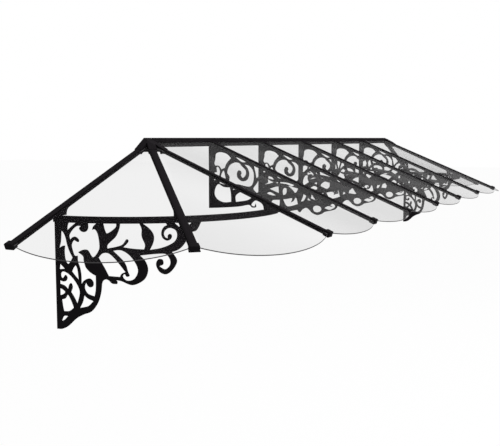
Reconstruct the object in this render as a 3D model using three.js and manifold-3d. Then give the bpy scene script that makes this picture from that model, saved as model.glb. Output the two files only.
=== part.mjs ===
// Hipped glazed wall canopy: a straight middle of equal bays and a quarter-round fan at each end.
// Millimetres, +Z up. The wall is the plane Y = 0 and the canopy reaches out towards -Y.
// The origin is the centre of the wall rail's back face.
import * as THREE from 'three';
import { mergeVertices } from 'three/addons/utils/BufferGeometryUtils.js';
import Module from 'manifold-3d';

const wasm = await Module();
wasm.setup();

// Driving dimensions: layout
const BAYS = 6;
const BAY_WIDTH = 600;
const PITCH_DEG = 22.5;
const FAN_DEG = 90;
const FAN_BAYS = 2;
const FAN_OFFSET = 21.2;
const CLEARANCE = 0.3;
const PANEL_PLAY = 0.5;
const EXTRUSION_WALL = 1.8;

// Driving dimensions: wall rail and its cover
const RAIL_HEIGHT = 46;
const RAIL_DEPTH = 26;
const RAIL_GROOVE = 8;
const COVER_THICKNESS = 3;

// Driving dimensions: rafters and end caps
const RAFTER_WIDTH = 33.5;
const RAFTER_HEIGHT = 18.5;
const RAFTER_RUN = 945;
const RAFTER_EDGE = 1.5;
const HUB_AXIS_DROP = 25.7;
const GROOVE_LIP = 8.5;
const GROOVE_HEIGHT = 6.5;
const GROOVE_DEPTH = 10;
const SLOT_DEPTH = 4;
const CAP_WALL = 3.7;
const CAP_END_WALL = 4;
const CAP_LENGTH = 28;
const CAP_BEVEL = 2.5;

// Driving dimensions: hubs and their screws
const HUB_WALL = 2.5;
const HUB_ARM = 95;
const HUB_FLAT = 18;
const HUB_CREST = -9;
const HUB_POCKET_START = 44;
const HUB_LIP = 1.5;
const SCREW_RUN = 70;
const SCREW_RADIUS = 2;
const SCREW_HEAD_RADIUS = 6;
const SCREW_HEAD_HEIGHT = 8;
const SCREW_GRIP = 3;
const SCREW_SIDES = 8;

// Driving dimensions: glazing
const PANEL_THICKNESS = 4;
const PANEL_EDGE_RUN = 941;
const BAY_SCALLOP = 50;
const FAN_EDGE_RUN = 980;
const SCALLOP_SEGMENTS = 10;

// Driving dimensions: curved beams and saddles
const BEAM_RADIUS = 660;
const BEAM_DEPTH = 20;
const BEAM_HEIGHT = 27;
const BEAM_OVERHANG = 112;
const BEAM_SLOT_DEPTH = 12;
const BEND_STEPS = 13;
const BEND_SNAP = 1e-5;
const SADDLE_WIDTH = 30;
const SADDLE_FLARE = 22;
const WALL_SADDLE_REACH = 24;
const SADDLE_SEGMENTS = 4;

// Driving dimensions: scrollwork plates
const PLATE_THICKNESS = 4;
const END_REACH = 635;
const END_DROP = 458;
const INNER_REACH = 765;
const INNER_DROP = 361.4;
const FLATNESS = 1.6;

// Derived values
const radians = THREE.MathUtils.degToRad;
const SLOPE = Math.tan(radians(PITCH_DEG));
const PLUMB = 1 / Math.cos(radians(PITCH_DEG));
const RAIL_TOP = RAIL_HEIGHT / 2;
const RIDGE_HALF = (BAYS * BAY_WIDTH) / 2;
const AXIS_Z = RAIL_TOP - HUB_AXIS_DROP;
const SLOT_WIDTH = PLATE_THICKNESS + 2 * CLEARANCE;
const HUB_HALF = RAFTER_WIDTH / 2 + CLEARANCE + HUB_WALL;
const CAP_HALF = RAFTER_WIDTH / 2 + CLEARANCE + CAP_WALL;
const CAP_START = RAFTER_RUN + CLEARANCE + CAP_END_WALL - CAP_LENGTH;
const RAIL_FRONT = RAIL_DEPTH + CLEARANCE + COVER_THICKNESS;
const FAN_HALF = radians(FAN_DEG / FAN_BAYS / 2);
const FAN_SLOPE = SLOPE / Math.cos(FAN_HALF);
const PANEL_SEAT = RAFTER_WIDTH / 2 - GROOVE_DEPTH + PANEL_PLAY;

// Finishes
const opaque = (color, roughness, metalness) => () =>
  new THREE.MeshStandardMaterial({ color, roughness, metalness });
const frameFinish = opaque(0x1d1b1e, 0.45, 0.3);
const capFinish = opaque(0x141315, 0.6, 0);
const steelFinish = opaque(0x2a292c, 0.4, 0.7);
const glazingFinish = () => new THREE.MeshStandardMaterial({
  color: 0xeef0f1, roughness: 0.08, metalness: 0, transparent: true, opacity: 0.3,
});

const canopy = new THREE.Group();

function addMesh(parent, name, geometry, material) {
  const mesh = new THREE.Mesh(geometry, material);
  mesh.name = name;
  parent.add(mesh);
  return mesh;
}

// A group at one hub, turned so that its -Y runs out along a rafter
function fanGroup(side, turnDeg) {
  const group = new THREE.Group();
  group.position.set(side * RIDGE_HALF, -FAN_OFFSET, 0);
  group.rotation.z = radians(turnDeg);
  canopy.add(group);
  return group;
}

// Solids for joining and cutting
function toSolid(geometry) {
  const bare = geometry.clone();
  bare.deleteAttribute('normal');
  bare.deleteAttribute('uv');
  const merged = mergeVertices(bare, 1e-4);
  const mesh = new wasm.Mesh({
    numProp: 3,
    vertProperties: new Float32Array(merged.attributes.position.array),
    triVerts: new Uint32Array(merged.index.array),
  });
  return new wasm.Manifold(mesh);
}

function toGeometry(solid) {
  const { vertProperties, triVerts } = solid.getMesh();
  const geometry = new THREE.BufferGeometry();
  geometry.setAttribute('position', new THREE.BufferAttribute(vertProperties, 3));
  geometry.setIndex(new THREE.BufferAttribute(triVerts, 1));
  return geometry;
}

const polygon = (points) => new THREE.Shape(points.map(([x, y]) => new THREE.Vector2(x, y)));

// A chamber that runs along an extruded bar
function addChamber(shape, left, low, right, high) {
  shape.holes.push(polygon([[left, low], [left, high], [right, high], [right, low]]));
  return shape;
}

const extrude = (shape, depth, options = {}) =>
  new THREE.ExtrudeGeometry(shape, { depth, bevelEnabled: false, ...options });

// Heights along a rafter, by the run from its hub, measured where a plumb line cuts it
const axisZ = (run) => AXIS_Z - SLOPE * run;
const rafterTop = (run) => axisZ(run) + (RAFTER_HEIGHT / 2) * PLUMB;
const rafterUnderside = (run) => axisZ(run) - (RAFTER_HEIGHT / 2) * PLUMB;
const lipTop = (run) => rafterUnderside(run) + GROOVE_LIP * PLUMB;

// Undersides and upper faces of the panels; a fan panel rests on the mouths of its two grooves
const bayPanelBottom = (run) => lipTop(run) + CLEARANCE;
const bayPanelTop = (run) => bayPanelBottom(run) + PANEL_THICKNESS * PLUMB;
const fanPanelBottom = (along) =>
  lipTop(0) + CLEARANCE + FAN_SLOPE * ((RAFTER_WIDTH / 2) * Math.sin(FAN_HALF) - along);

// Turns an extrusion (across, up, out) into a bar that falls with the roof along -Y
const barMatrix = new THREE.Matrix4().makeRotationX(Math.PI / 2 + radians(PITCH_DEG));
barMatrix.setPosition(0, 0, AXIS_Z);

// A bar with square ends, from one run on its axis to another
function slopedBar(section, start, end, options) {
  const geometry = extrude(section, (end - start) * PLUMB, options);
  geometry.translate(0, 0, start * PLUMB);
  return geometry.applyMatrix4(barMatrix);
}

// A bar whose upper end is cut plumb
function mitredBar(section, start, end) {
  const geometry = extrude(section, (end - start) * PLUMB);
  const position = geometry.attributes.position;
  for (let i = 0; i < position.count; i += 1) {
    if (position.getZ(i) === 0) position.setZ(i, -SLOPE * position.getY(i));
  }
  geometry.translate(0, 0, start * PLUMB);
  return geometry.applyMatrix4(barMatrix);
}

// Stands an outline drawn as (out from the wall, up) across the given width along X
const standMatrix = new THREE.Matrix4().set(
  0, 0, -1, 0,
  -1, 0, 0, 0,
  0, 1, 0, 0,
  0, 0, 0, 1,
);

function crossBar(outline, width) {
  const geometry = extrude(outline, width);
  geometry.translate(0, 0, -width / 2);
  return geometry.applyMatrix4(standMatrix);
}

// Wall rail and ridge cover
function railSection() {
  const bottom = -RAIL_HEIGHT / 2;
  const top = RAIL_TOP - COVER_THICKNESS - CLEARANCE;
  const back = RAIL_DEPTH - RAIL_GROOVE;
  const low = (out) => bayPanelBottom(out - FAN_OFFSET) - CLEARANCE;
  const high = (out) => bayPanelTop(out - FAN_OFFSET) + CLEARANCE;
  const section = polygon([
    [0, bottom], [RAIL_DEPTH, bottom], [RAIL_DEPTH, low(RAIL_DEPTH)], [back, low(back)],
    [back, high(back)], [RAIL_DEPTH, high(RAIL_DEPTH)], [RAIL_DEPTH, top], [0, top],
  ]);
  const wall = EXTRUSION_WALL;
  addChamber(section, wall, bottom + wall, RAIL_DEPTH - wall, low(RAIL_DEPTH) - wall);
  return addChamber(section, wall, high(back) + wall, RAIL_DEPTH - wall, top - wall);
}

function coverSection() {
  const inner = RAIL_DEPTH + CLEARANCE;
  const lip = bayPanelTop(inner - FAN_OFFSET) + CLEARANCE;
  const under = RAIL_TOP - COVER_THICKNESS;
  return polygon([
    [0, under], [inner, under], [inner, lip], [RAIL_FRONT, lip], [RAIL_FRONT, RAIL_TOP], [0, RAIL_TOP],
  ]);
}

const RAIL_LENGTH = 2 * (RIDGE_HALF - HUB_HALF - CLEARANCE);
addMesh(canopy, 'wall_rail', crossBar(railSection(), RAIL_LENGTH), frameFinish());
addMesh(canopy, 'ridge_cover', crossBar(coverSection(), RAIL_LENGTH), frameFinish());

// Rafters: one extruded section round a chamber, with glazing grooves at its sides and a plate slot below
function rafterSection() {
  const half = RAFTER_WIDTH / 2;
  const web = half - GROOVE_DEPTH;
  const slot = SLOT_WIDTH / 2;
  const top = RAFTER_HEIGHT / 2;
  const lip = -top + GROOVE_LIP;
  const ceiling = lip + GROOVE_HEIGHT;
  const right = [
    [slot, -top + SLOT_DEPTH], [slot, -top], [half, -top], [half, lip], [web, lip],
    [web, ceiling], [half, ceiling], [half, top - RAFTER_EDGE], [half - RAFTER_EDGE, top],
  ];
  const left = right.map(([x, y]) => [-x, y]).reverse();
  const inner = web - EXTRUSION_WALL;
  const floor = -top + SLOT_DEPTH + EXTRUSION_WALL;
  return addChamber(polygon([...right, ...left]), -inner, floor, inner, top - EXTRUSION_WALL);
}

const chamferedBox = (half, low, high, edge) => polygon([
  [half - edge, low], [half, low + edge], [half, high - edge], [half - edge, high],
  [edge - half, high], [-half, high - edge], [-half, low + edge], [edge - half, low],
]);

// The section of the room that a rafter takes in a hub or a cap, with its clearance
function rafterRoom() {
  const half = RAFTER_WIDTH / 2 + CLEARANCE;
  const high = RAFTER_HEIGHT / 2 + CLEARANCE;
  return polygon([[-half, -high], [half, -high], [half, high], [-half, high]]);
}

function endCap() {
  const high = RAFTER_HEIGHT / 2 + CLEARANCE + CAP_WALL - CAP_BEVEL;
  const outer = slopedBar(
    chamferedBox(CAP_HALF - CAP_BEVEL, -high, high, CAP_BEVEL),
    CAP_START + CAP_BEVEL,
    CAP_START + CAP_LENGTH - CAP_BEVEL,
    { bevelEnabled: true, bevelSize: CAP_BEVEL, bevelThickness: CAP_BEVEL, bevelSegments: 1 },
  );
  const room = slopedBar(rafterRoom(), CAP_START - RAFTER_HEIGHT, RAFTER_RUN + CLEARANCE);
  return toGeometry(toSolid(outer).subtract(toSolid(room)));
}

function addRafter(group, name, start) {
  addMesh(group, `rafter_${name}`, mitredBar(rafterSection(), start, RAFTER_RUN), frameFinish());
  addMesh(group, `end_cap_${name}`, endCap(), capFinish());
}

for (let i = 1; i < BAYS; i += 1) {
  const group = new THREE.Group();
  group.position.set(i * BAY_WIDTH - RIDGE_HALF, -FAN_OFFSET, 0);
  canopy.add(group);
  addRafter(group, `front_${i + 1}`, RAIL_FRONT + CLEARANCE - FAN_OFFSET);
}

// Hubs: three sleeves in one casting, flat on top near the ridge and thinning out along each rafter
function hubArm(start) {
  const top = (run) => rafterTop(run) + HUB_LIP;
  const under = (run) => rafterUnderside(run) - HUB_WALL;
  const outline = polygon([
    [start, under(start)], [HUB_ARM, under(HUB_ARM)], [HUB_ARM, top(HUB_ARM)],
    [HUB_FLAT, RAIL_TOP], [start, RAIL_TOP],
  ]);
  return toSolid(crossBar(outline, 2 * HUB_HALF));
}

// The hole for a screw, from below the hub up into the rafter
function screwHole() {
  const radius = SCREW_RADIUS + CLEARANCE;
  const hole = new THREE.CylinderGeometry(radius, radius, 2 * RAFTER_HEIGHT, SCREW_SIDES);
  hole.rotateX(Math.PI / 2);
  return hole.translate(0, -SCREW_RUN, rafterUnderside(SCREW_RUN) - RAFTER_HEIGHT + SCREW_GRIP);
}

// The casting's top falls to the front from its crest, as far as the end of the front sleeve
function hub(side) {
  const turned = (solid, k) => {
    const turn = new THREE.Matrix4().makeRotationZ(-radians((FAN_DEG / FAN_BAYS) * k));
    return toSolid(toGeometry(solid).applyMatrix4(turn));
  };
  const corner = hubArm(-HUB_HALF);
  const pocket = toSolid(mitredBar(rafterRoom(), HUB_POCKET_START, HUB_ARM + RAFTER_HEIGHT));
  const hole = toSolid(screwHole());
  let casting = corner.add(turned(hubArm(0), 1)).add(turned(corner, FAN_BAYS));
  for (let k = 0; k <= FAN_BAYS; k += 1) {
    casting = casting.subtract(turned(pocket, k)).subtract(turned(hole, k));
  }
  const fall = (RAIL_TOP - rafterTop(HUB_ARM) - HUB_LIP) / (HUB_ARM - HUB_CREST);
  const down = new THREE.Vector3(side > 0 ? fall : 0, side > 0 ? 0 : fall, -1);
  const offset = -(RAIL_TOP + fall * HUB_CREST) / down.length();
  return toGeometry(casting.trimByPlane(down.toArray(), offset));
}

// Screws that clamp each sleeve to its rafter; the shank stands in the rafter's slot
function hubScrew() {
  const seat = rafterUnderside(SCREW_RUN + SCREW_HEAD_RADIUS) - HUB_WALL - CLEARANCE;
  const tip = rafterUnderside(SCREW_RUN) + SCREW_GRIP;
  const profile = [
    [0, seat - SCREW_HEAD_HEIGHT], [SCREW_HEAD_RADIUS, seat - SCREW_HEAD_HEIGHT], [SCREW_HEAD_RADIUS, seat],
    [SCREW_RADIUS, seat], [SCREW_RADIUS, tip], [0, tip],
  ].map(([x, y]) => new THREE.Vector2(x, y));
  const screw = new THREE.LatheGeometry(profile, SCREW_SIDES);
  screw.rotateX(Math.PI / 2);
  return screw.translate(0, -SCREW_RUN, 0);
}

const FAN_SIDES = [
  { label: 'left', side: -1 },
  { label: 'right', side: 1 },
];
const FAN_RAFTERS = ['front', 'hip', 'wall'];

for (const { label, side } of FAN_SIDES) {
  addMesh(fanGroup(side, side > 0 ? FAN_DEG : 0), `hub_${label}`, hub(side), frameFinish());
  FAN_RAFTERS.forEach((place, k) => {
    const group = fanGroup(side, (side * FAN_DEG * k) / FAN_BAYS);
    addRafter(group, `${place}_${label}`, HUB_POCKET_START + CLEARANCE);
    addMesh(group, `hub_screw_${place}_${label}`, hubScrew(), steelFinish());
  });
}

// Glazing: outlines drawn in plan, then lifted onto the plane of the roof
function liftedPanel(outline, depth, heightAt) {
  const geometry = extrude(outline, depth, { curveSegments: SCALLOP_SEGMENTS });
  const position = geometry.attributes.position;
  for (let i = 0; i < position.count; i += 1) {
    position.setZ(i, position.getZ(i) + heightAt(-position.getY(i)));
  }
  return geometry;
}

// One long side of a panel as (run, inset from the rafter's axis), clear of the hub and the cap
function sidePoints(startRun, inHub) {
  const capInset = CAP_HALF + PANEL_PLAY;
  const hubInset = HUB_HALF + PANEL_PLAY;
  const hubEnd = HUB_ARM + PANEL_PLAY;
  const upper = inHub
    ? [[startRun, hubInset], [hubEnd, hubInset], [hubEnd, PANEL_SEAT]]
    : [[startRun, PANEL_SEAT]];
  const capRun = CAP_START - 2 * PANEL_PLAY;
  return [...upper, [capRun, PANEL_SEAT], [capRun, capInset], [PANEL_EDGE_RUN, capInset]];
}

function panelOutline(right, left, bulge) {
  const shape = new THREE.Shape();
  shape.moveTo(...left[0]);
  left.slice(1).forEach((p) => shape.lineTo(...p));
  shape.quadraticCurveTo(...bulge, ...right[right.length - 1]);
  right.slice(0, -1).reverse().forEach((p) => shape.lineTo(...p));
  return shape;
}

function bayPanel(index) {
  const start = RAIL_DEPTH - RAIL_GROOVE + PANEL_PLAY - FAN_OFFSET;
  const left = sidePoints(start, index === 0).map(([run, inset]) => [inset, -run]);
  const right = sidePoints(start, index === BAYS - 1).map(([run, inset]) => [BAY_WIDTH - inset, -run]);
  const bulge = [BAY_WIDTH / 2, -(PANEL_EDGE_RUN + 2 * BAY_SCALLOP)];
  return liftedPanel(panelOutline(right, left, bulge), PANEL_THICKNESS * PLUMB, bayPanelBottom);
}

function fanPanel() {
  const sin = Math.sin(FAN_HALF);
  const cos = Math.cos(FAN_HALF);
  const apexRun = (HUB_HALF + PANEL_PLAY) / Math.tan(FAN_HALF) + PANEL_PLAY;
  const turned = ([run, inset]) => [inset * cos - run * sin, -(run * cos + inset * sin)];
  const left = sidePoints(apexRun, true).map(turned);
  const right = left.map(([x, y]) => [-x, y]);
  const corner = -left[left.length - 1][1];
  const bulge = [0, -(2 * FAN_EDGE_RUN - corner)];
  const plumb = Math.hypot(1, FAN_SLOPE);
  return liftedPanel(panelOutline(right, left, bulge), PANEL_THICKNESS * plumb, fanPanelBottom);
}

for (let i = 0; i < BAYS; i += 1) {
  const panel = addMesh(canopy, `panel_bay_${i + 1}`, bayPanel(i), glazingFinish());
  panel.position.set(i * BAY_WIDTH - RIDGE_HALF, -FAN_OFFSET, 0);
}
for (const { label, side } of FAN_SIDES) {
  ['front', 'wall'].forEach((place, k) => {
    const turn = (side * FAN_DEG * (k + 0.5)) / FAN_BAYS;
    addMesh(fanGroup(side, turn), `panel_fan_${place}_${label}`, fanPanel(), glazingFinish());
  });
}

// Curved beams: the top lies just under the lowest part of the fan panels
const beamEdge = BEAM_RADIUS + BEAM_DEPTH / 2;
const lowestAlong = Math.hypot(beamEdge * Math.cos(FAN_HALF), beamEdge * Math.sin(FAN_HALF) - FAN_OFFSET);
const BEAM_TOP = fanPanelBottom(lowestAlong) - PANEL_PLAY;
const BEAM_BOTTOM = BEAM_TOP - BEAM_HEIGHT;
const BEAM_LENGTH = BEAM_RADIUS * radians(FAN_DEG) + BEAM_OVERHANG;
const BEND_STEP = BEAM_LENGTH / BEND_STEPS;

// Folds flat stock, drawn as (along, up, outward), round the left hub's foot on the wall;
// it stays flat between one bend line and the next
function bend(geometry) {
  const position = geometry.attributes.position;
  const fold = BEND_STEP / BEAM_RADIUS;
  const snap = (value) => (Math.abs(value - Math.round(value)) < BEND_SNAP ? Math.round(value) : value);
  for (let i = 0; i < position.count; i += 1) {
    const steps = snap(position.getX(i) / BEND_STEP);
    const line = Math.floor(steps);
    const radius = BEAM_RADIUS + position.getZ(i);
    const at = (k) => new THREE.Vector2(-radius * Math.cos(k * fold), -radius * Math.sin(k * fold));
    const point = at(line).lerp(at(line + 1), steps - line);
    position.setXYZ(i, point.x, point.y, position.getY(i));
  }
  return geometry;
}

// The same piece for the right-hand end
function mirrored(geometry) {
  const copy = geometry.index ? geometry.toNonIndexed() : geometry.clone();
  const position = copy.attributes.position;
  for (let i = 0; i < position.count; i += 3) {
    const corners = [0, 2, 1].map((k) => new THREE.Vector3().fromBufferAttribute(position, i + k));
    corners.forEach((p, k) => position.setXYZ(i + k, -p.x, p.y, p.z));
  }
  return copy;
}

function curvedBeam() {
  const half = BEAM_DEPTH / 2;
  const slot = SLOT_WIDTH / 2;
  const roof = BEAM_BOTTOM + BEAM_SLOT_DEPTH;
  const section = polygon([
    [slot, roof], [slot, BEAM_BOTTOM], [half, BEAM_BOTTOM], [half, BEAM_TOP],
    [-half, BEAM_TOP], [-half, BEAM_BOTTOM], [-slot, BEAM_BOTTOM], [-slot, roof],
  ]);
  const geometry = extrude(section, BEAM_LENGTH, { steps: BEND_STEPS });
  return bend(geometry.rotateY(Math.PI / 2));
}

// Saddles: gussets between the beam and the rafters that cross it
function saddle(turnDeg, reach) {
  const turn = radians(turnDeg);
  const outward = FAN_OFFSET * Math.cos(turn);
  const sideways = FAN_OFFSET * Math.sin(turn);
  const centre = Math.sqrt(BEAM_RADIUS ** 2 - sideways ** 2) - outward;
  const half = BEAM_DEPTH / 2;
  const foot = BEAM_TOP + CLEARANCE;
  const head = (run) => rafterUnderside(run) - CLEARANCE;
  const inner = centre - half - reach;
  const shape = new THREE.Shape();
  shape.moveTo(inner, foot);
  shape.lineTo(centre + half, foot);
  shape.lineTo(centre + half, head(centre + half));
  shape.lineTo(inner - SADDLE_FLARE, head(inner - SADDLE_FLARE));
  shape.quadraticCurveTo(inner, head(inner), inner, foot);
  const flat = new THREE.Shape(shape.getPoints(SADDLE_SEGMENTS));
  return crossBar(flat, SADDLE_WIDTH);
}

for (const { label, side } of FAN_SIDES) {
  FAN_RAFTERS.forEach((place, k) => {
    const turn = (FAN_DEG * k) / FAN_BAYS;
    const reach = place === 'wall' ? WALL_SADDLE_REACH : 0;
    addMesh(fanGroup(side, side * turn), `saddle_${place}_${label}`, saddle(turn, reach), frameFinish());
  });
}

// Scrollwork outlines. A contour is a list of runs: each run goes on smoothly from the last point of
// the run before it and ends in a sharp corner, and a run of one point is a straight line.
const pairs = (run) => run.reduce((all, x, i) => (i % 2 ? all : [...all, [x, run[i + 1]]]), []);

function halve(curve, from, to, out) {
  const a = curve.getPoint(from);
  const b = curve.getPoint(to);
  const middle = curve.getPoint((from + to) / 2);
  const flat = middle.distanceTo(a.clone().lerp(b, 0.5)) < FLATNESS;
  if (!flat) out.push(middle);
  out.push(b);
}

function contour(runs, place) {
  const lists = runs.map((run) => pairs(run).map((p) => place(...p)));
  const points = [];
  lists.forEach((list, i) => {
    const before = lists[(i + lists.length - 1) % lists.length];
    const run = [before[before.length - 1], ...list];
    if (run.length === 2) {
      points.push(run[1]);
      return;
    }
    const curve = new THREE.SplineCurve(run);
    const spans = run.length - 1;
    for (let k = 0; k < spans; k += 1) halve(curve, k / spans, (k + 1) / spans, points);
  });
  return points;
}

// A flat plate of the given outline, with its openings punched out
function scrollPlate(outline, openings, place) {
  const blank = extrude(new THREE.Shape(outline), PLATE_THICKNESS);
  let plate = toSolid(blank.translate(0, 0, -PLATE_THICKNESS / 2));
  for (const runs of openings) {
    const punch = extrude(new THREE.Shape(contour(runs, place)), 2 * PLATE_THICKNESS);
    plate = plate.subtract(toSolid(punch.translate(0, 0, -PLATE_THICKNESS)));
  }
  return plate;
}

// End brackets, drawn flat as (along the beam from the wall, drop below the beam)
const END_PATTERN = { reach: 635, drop: 458 };
const END_EDGE = [
  [28, 455, 60, 437, 100, 402, 135, 384, 170, 370, 198, 335, 213, 290, 219, 248, 232, 235, 246, 238,
    260, 251, 281, 253],
  [283, 244, 277, 237],
  [300, 241, 345, 257, 392, 235, 409, 197, 400, 160, 377, 134],
  [430, 129, 472, 128, 488, 134],
  [500, 157, 497, 179, 478, 193, 455, 179],
  [471, 172, 469, 153, 450, 151, 441, 173, 455, 203, 483, 214, 511, 195, 529, 158, 508, 122],
  [538, 111, 565, 85, 590, 44],
  [617, 37, 635, 0],
];
const END_OPENINGS = [
  // Slit beside the leg, with a thorn
  [[46, 49, 55, 68, 62, 96, 72, 122, 87, 149], [77, 165, 64, 177, 52, 160, 48, 130, 51, 101],
    [38, 103, 21, 113], [30, 85, 34, 38]],
  // Corner between the leg and the beam
  [[66, 18, 73, 1], [107, 2], [90, 15, 64, 36]],
  // Main opening: hanging bud, leaf, lower curl, bird-shaped leaf and trunk
  [[112, 17, 92, 31, 74, 56, 78, 76], [86, 66, 99, 62, 119, 79],
    [106, 80, 92, 77, 83, 96, 88, 118, 97, 140, 111, 140],
    [112, 165, 121, 190, 126, 220, 126, 260],
    [135, 246, 152, 235, 168, 234, 180, 248, 178, 265, 165, 270, 153, 262, 149, 251],
    [142, 263, 143, 281, 156, 298, 184, 307], [190, 275, 191, 221],
    [168, 208, 148, 188, 139, 160, 136, 141, 114, 126],
    [129, 117, 147, 113, 161, 118, 181, 144, 206, 114, 209, 85, 203, 48, 192, 29, 179, 31],
    [184, 16, 199, 2],
    [161, 1], [160, 27, 150, 41, 132, 41, 125, 27, 130, 16]],
  // Small openings down the leg
  [[30, 183, 48, 198], [21, 202], [23, 188, 25, 174]],
  [[109, 198, 114, 241], [98, 225, 83, 208], [90, 193, 101, 180]],
  [[40, 253, 54, 248, 59, 234, 50, 224, 42, 233, 34, 239, 27, 229, 30, 215, 45, 211, 70, 222, 95, 246,
    113, 275, 117, 300, 105, 342], [91, 316, 76, 295], [84, 273, 77, 257, 67, 265, 62, 284],
  [45, 270, 22, 264], [21, 249]],
  [[36, 288, 47, 297, 36, 307, 21, 312], [21, 282]],
  [[47, 324, 60, 308, 75, 330, 88, 360], [65, 376, 38, 379], [33, 358, 29, 330]],
  [[40, 399, 32, 408, 26, 422], [42, 414, 58, 398]],
  [[155, 318, 178, 327], [155, 349, 117, 359], [131, 333, 138, 305]],
  // Fork of the trunk and the openings along the arm
  [[281, 2], [278, 19, 245, 43, 235, 33, 227, 1]],
  [[375, 2], [384, 25, 384, 55, 397, 90, 393, 109], [350, 106, 309, 100],
    [322, 87, 328, 71, 318, 72, 300, 92, 243, 106], [246, 89, 278, 58, 293, 27, 298, 1]],
  // Spiral at the arm's end
  [[484, 2], [466, 30, 464, 55, 474, 73, 489, 80, 504, 73, 511, 60, 507, 49, 499, 47],
    [493, 52, 493, 60, 497, 66], [484, 65, 477, 46, 498, 24, 525, 38, 531, 70, 495, 98, 417, 111],
    [433, 77, 433, 42, 388, 1]],
  [[541, 3], [540, 19], [519, 1]],
  [[590, 3], [580, 18], [571, 2]],
  // Loops under the arm
  [[221, 128, 246, 126, 275, 150, 316, 203], [300, 210, 293, 223], [247, 220], [230, 187, 205, 145]],
  [[300, 113, 332, 132, 358, 167, 367, 201, 350, 232, 322, 238, 306, 223, 312, 211, 321, 222, 333, 218,
    327, 202], [313, 162, 267, 115]],
];

// Rolls a flat plate: the strips between the bend lines are bent one by one and joined again
function rolledPlate(plate) {
  const { min, max } = new THREE.Box3().setFromBufferAttribute(toGeometry(plate).attributes.position);
  const size = max.clone().sub(min).multiplyScalar(2);
  let rolled = null;
  for (let at = 0; at < max.x; at += BEND_STEP) {
    const strip = new THREE.BoxGeometry(BEND_STEP, size.y, size.z);
    strip.translate(at + BEND_STEP / 2, (min.y + max.y) / 2, 0);
    const bent = toSolid(bend(toGeometry(plate.intersect(toSolid(strip)))));
    rolled = rolled ? rolled.add(bent) : bent;
  }
  return toGeometry(rolled);
}

function endBracket() {
  const tongue = BEAM_BOTTOM + BEAM_SLOT_DEPTH - CLEARANCE;
  const along = END_REACH / END_PATTERN.reach;
  const down = END_DROP / END_PATTERN.drop;
  const place = (s, drop) => new THREE.Vector2(s * along, BEAM_BOTTOM - drop * down);
  const lift = (BEAM_BOTTOM - tongue) / down;
  const edge = [...END_EDGE, [END_PATTERN.reach, lift], [0, lift], [0, END_PATTERN.drop]];
  return rolledPlate(scrollPlate(contour(edge, place), END_OPENINGS, place));
}

for (const { label, side } of FAN_SIDES) {
  const foot = new THREE.Group();
  foot.position.set(side * RIDGE_HALF, 0, 0);
  canopy.add(foot);
  const handed = (geometry) => (side > 0 ? mirrored(geometry) : geometry);
  addMesh(foot, `curved_beam_${label}`, handed(curvedBeam()), frameFinish());
  addMesh(foot, `end_bracket_${label}`, handed(endBracket()), frameFinish());
}

// Inner brackets, drawn flat as (out from the wall, depth below the ridge at the drawn pitch)
const INNER_PATTERN = { reach: 765, drop: 361.4, top: 24.6, slope: 0.4142 };
const INNER_EDGE = [
  [100, 379, 190, 370, 250, 359, 270, 372, 294, 369, 291, 350],
  [283, 366, 265, 357, 290, 334, 325, 346, 360, 376, 430, 391, 537, 374],
  [552, 386, 567, 370],
  [588, 361, 606, 371, 622, 386, 650, 396, 676, 389, 694, 378, 748, 364, 765, 343],
];
const INNER_OPENINGS = [
  // Lobe, buds and rounded opening beside the leg
  [[58, 149, 69, 155, 80, 170], [102, 160], [113, 136, 140, 108],
    [115, 86, 75, 76, 46, 85, 41, 115, 35, 138, 42, 150]],
  [[60, 157, 71, 180, 64, 210, 57, 226, 33, 229], [36, 189], [51, 185], [48, 160]],
  [[98, 183, 107, 222], [98, 217, 92, 229, 82, 227, 73, 224], [80, 195, 90, 177]],
  [[86, 236, 97, 229, 113, 244, 105, 253, 67, 245], [72, 231]],
  [[52, 256, 38, 282, 37, 312, 56, 336, 95, 350, 141, 346], [140, 305, 133, 268], [95, 266, 67, 252]],
  // Large spiral
  [[190, 134, 160, 132, 130, 150, 116, 185, 130, 208, 133, 240, 190, 250, 255, 259, 278, 230, 278, 180,
    255, 150, 223, 141], [243, 163, 252, 192, 240, 223, 210, 232, 182, 214, 177, 190, 186, 174, 199, 176,
    205, 188, 200, 199], [212, 213, 229, 200, 231, 174, 204, 148]],
  [[200, 112, 232, 128], [205, 127, 168, 101]],
  [[169, 312, 203, 290, 240, 296, 279, 306], [245, 332, 170, 345]],
  [[200, 270, 244, 283], [228, 291, 190, 278, 152, 279], [150, 267]],
  // Middle scroll
  [[352, 178], [325, 186, 298, 212, 291, 188, 280, 148]],
  [[277, 271, 297, 243, 320, 209, 358, 197, 392, 208, 397, 232, 344, 246],
    [365, 235, 362, 216, 341, 217, 332, 238, 341, 262], [318, 277, 300, 293]],
  [[378, 285, 413, 302], [406, 325], [436, 325], [430, 361, 395, 370, 356, 360], [359, 338],
    [380, 342, 394, 323, 380, 306, 352, 297]],
  [[350, 312, 337, 322], [336, 305, 347, 297]],
  // Leaves towards the tip
  [[425, 254, 475, 263], [474, 287, 455, 299, 420, 285, 375, 268]],
  [[545, 255], [536, 275, 530, 299, 519, 280, 498, 260, 460, 239, 416, 237], [412, 199]],
  [[488, 303, 508, 315, 500, 336], [516, 327, 530, 307, 541, 343], [480, 357, 455, 322]],
  [[588, 295, 575, 323, 558, 329], [570, 300, 573, 275]],
  [[632, 308, 647, 327], [595, 320], [603, 300, 618, 287]],
  [[632, 352, 650, 347, 667, 352, 674, 364, 667, 376, 650, 382, 633, 377, 626, 364]],
  [[710, 348, 736, 350, 722, 342], [740, 335, 749, 350, 720, 366, 690, 358]],
];

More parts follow.
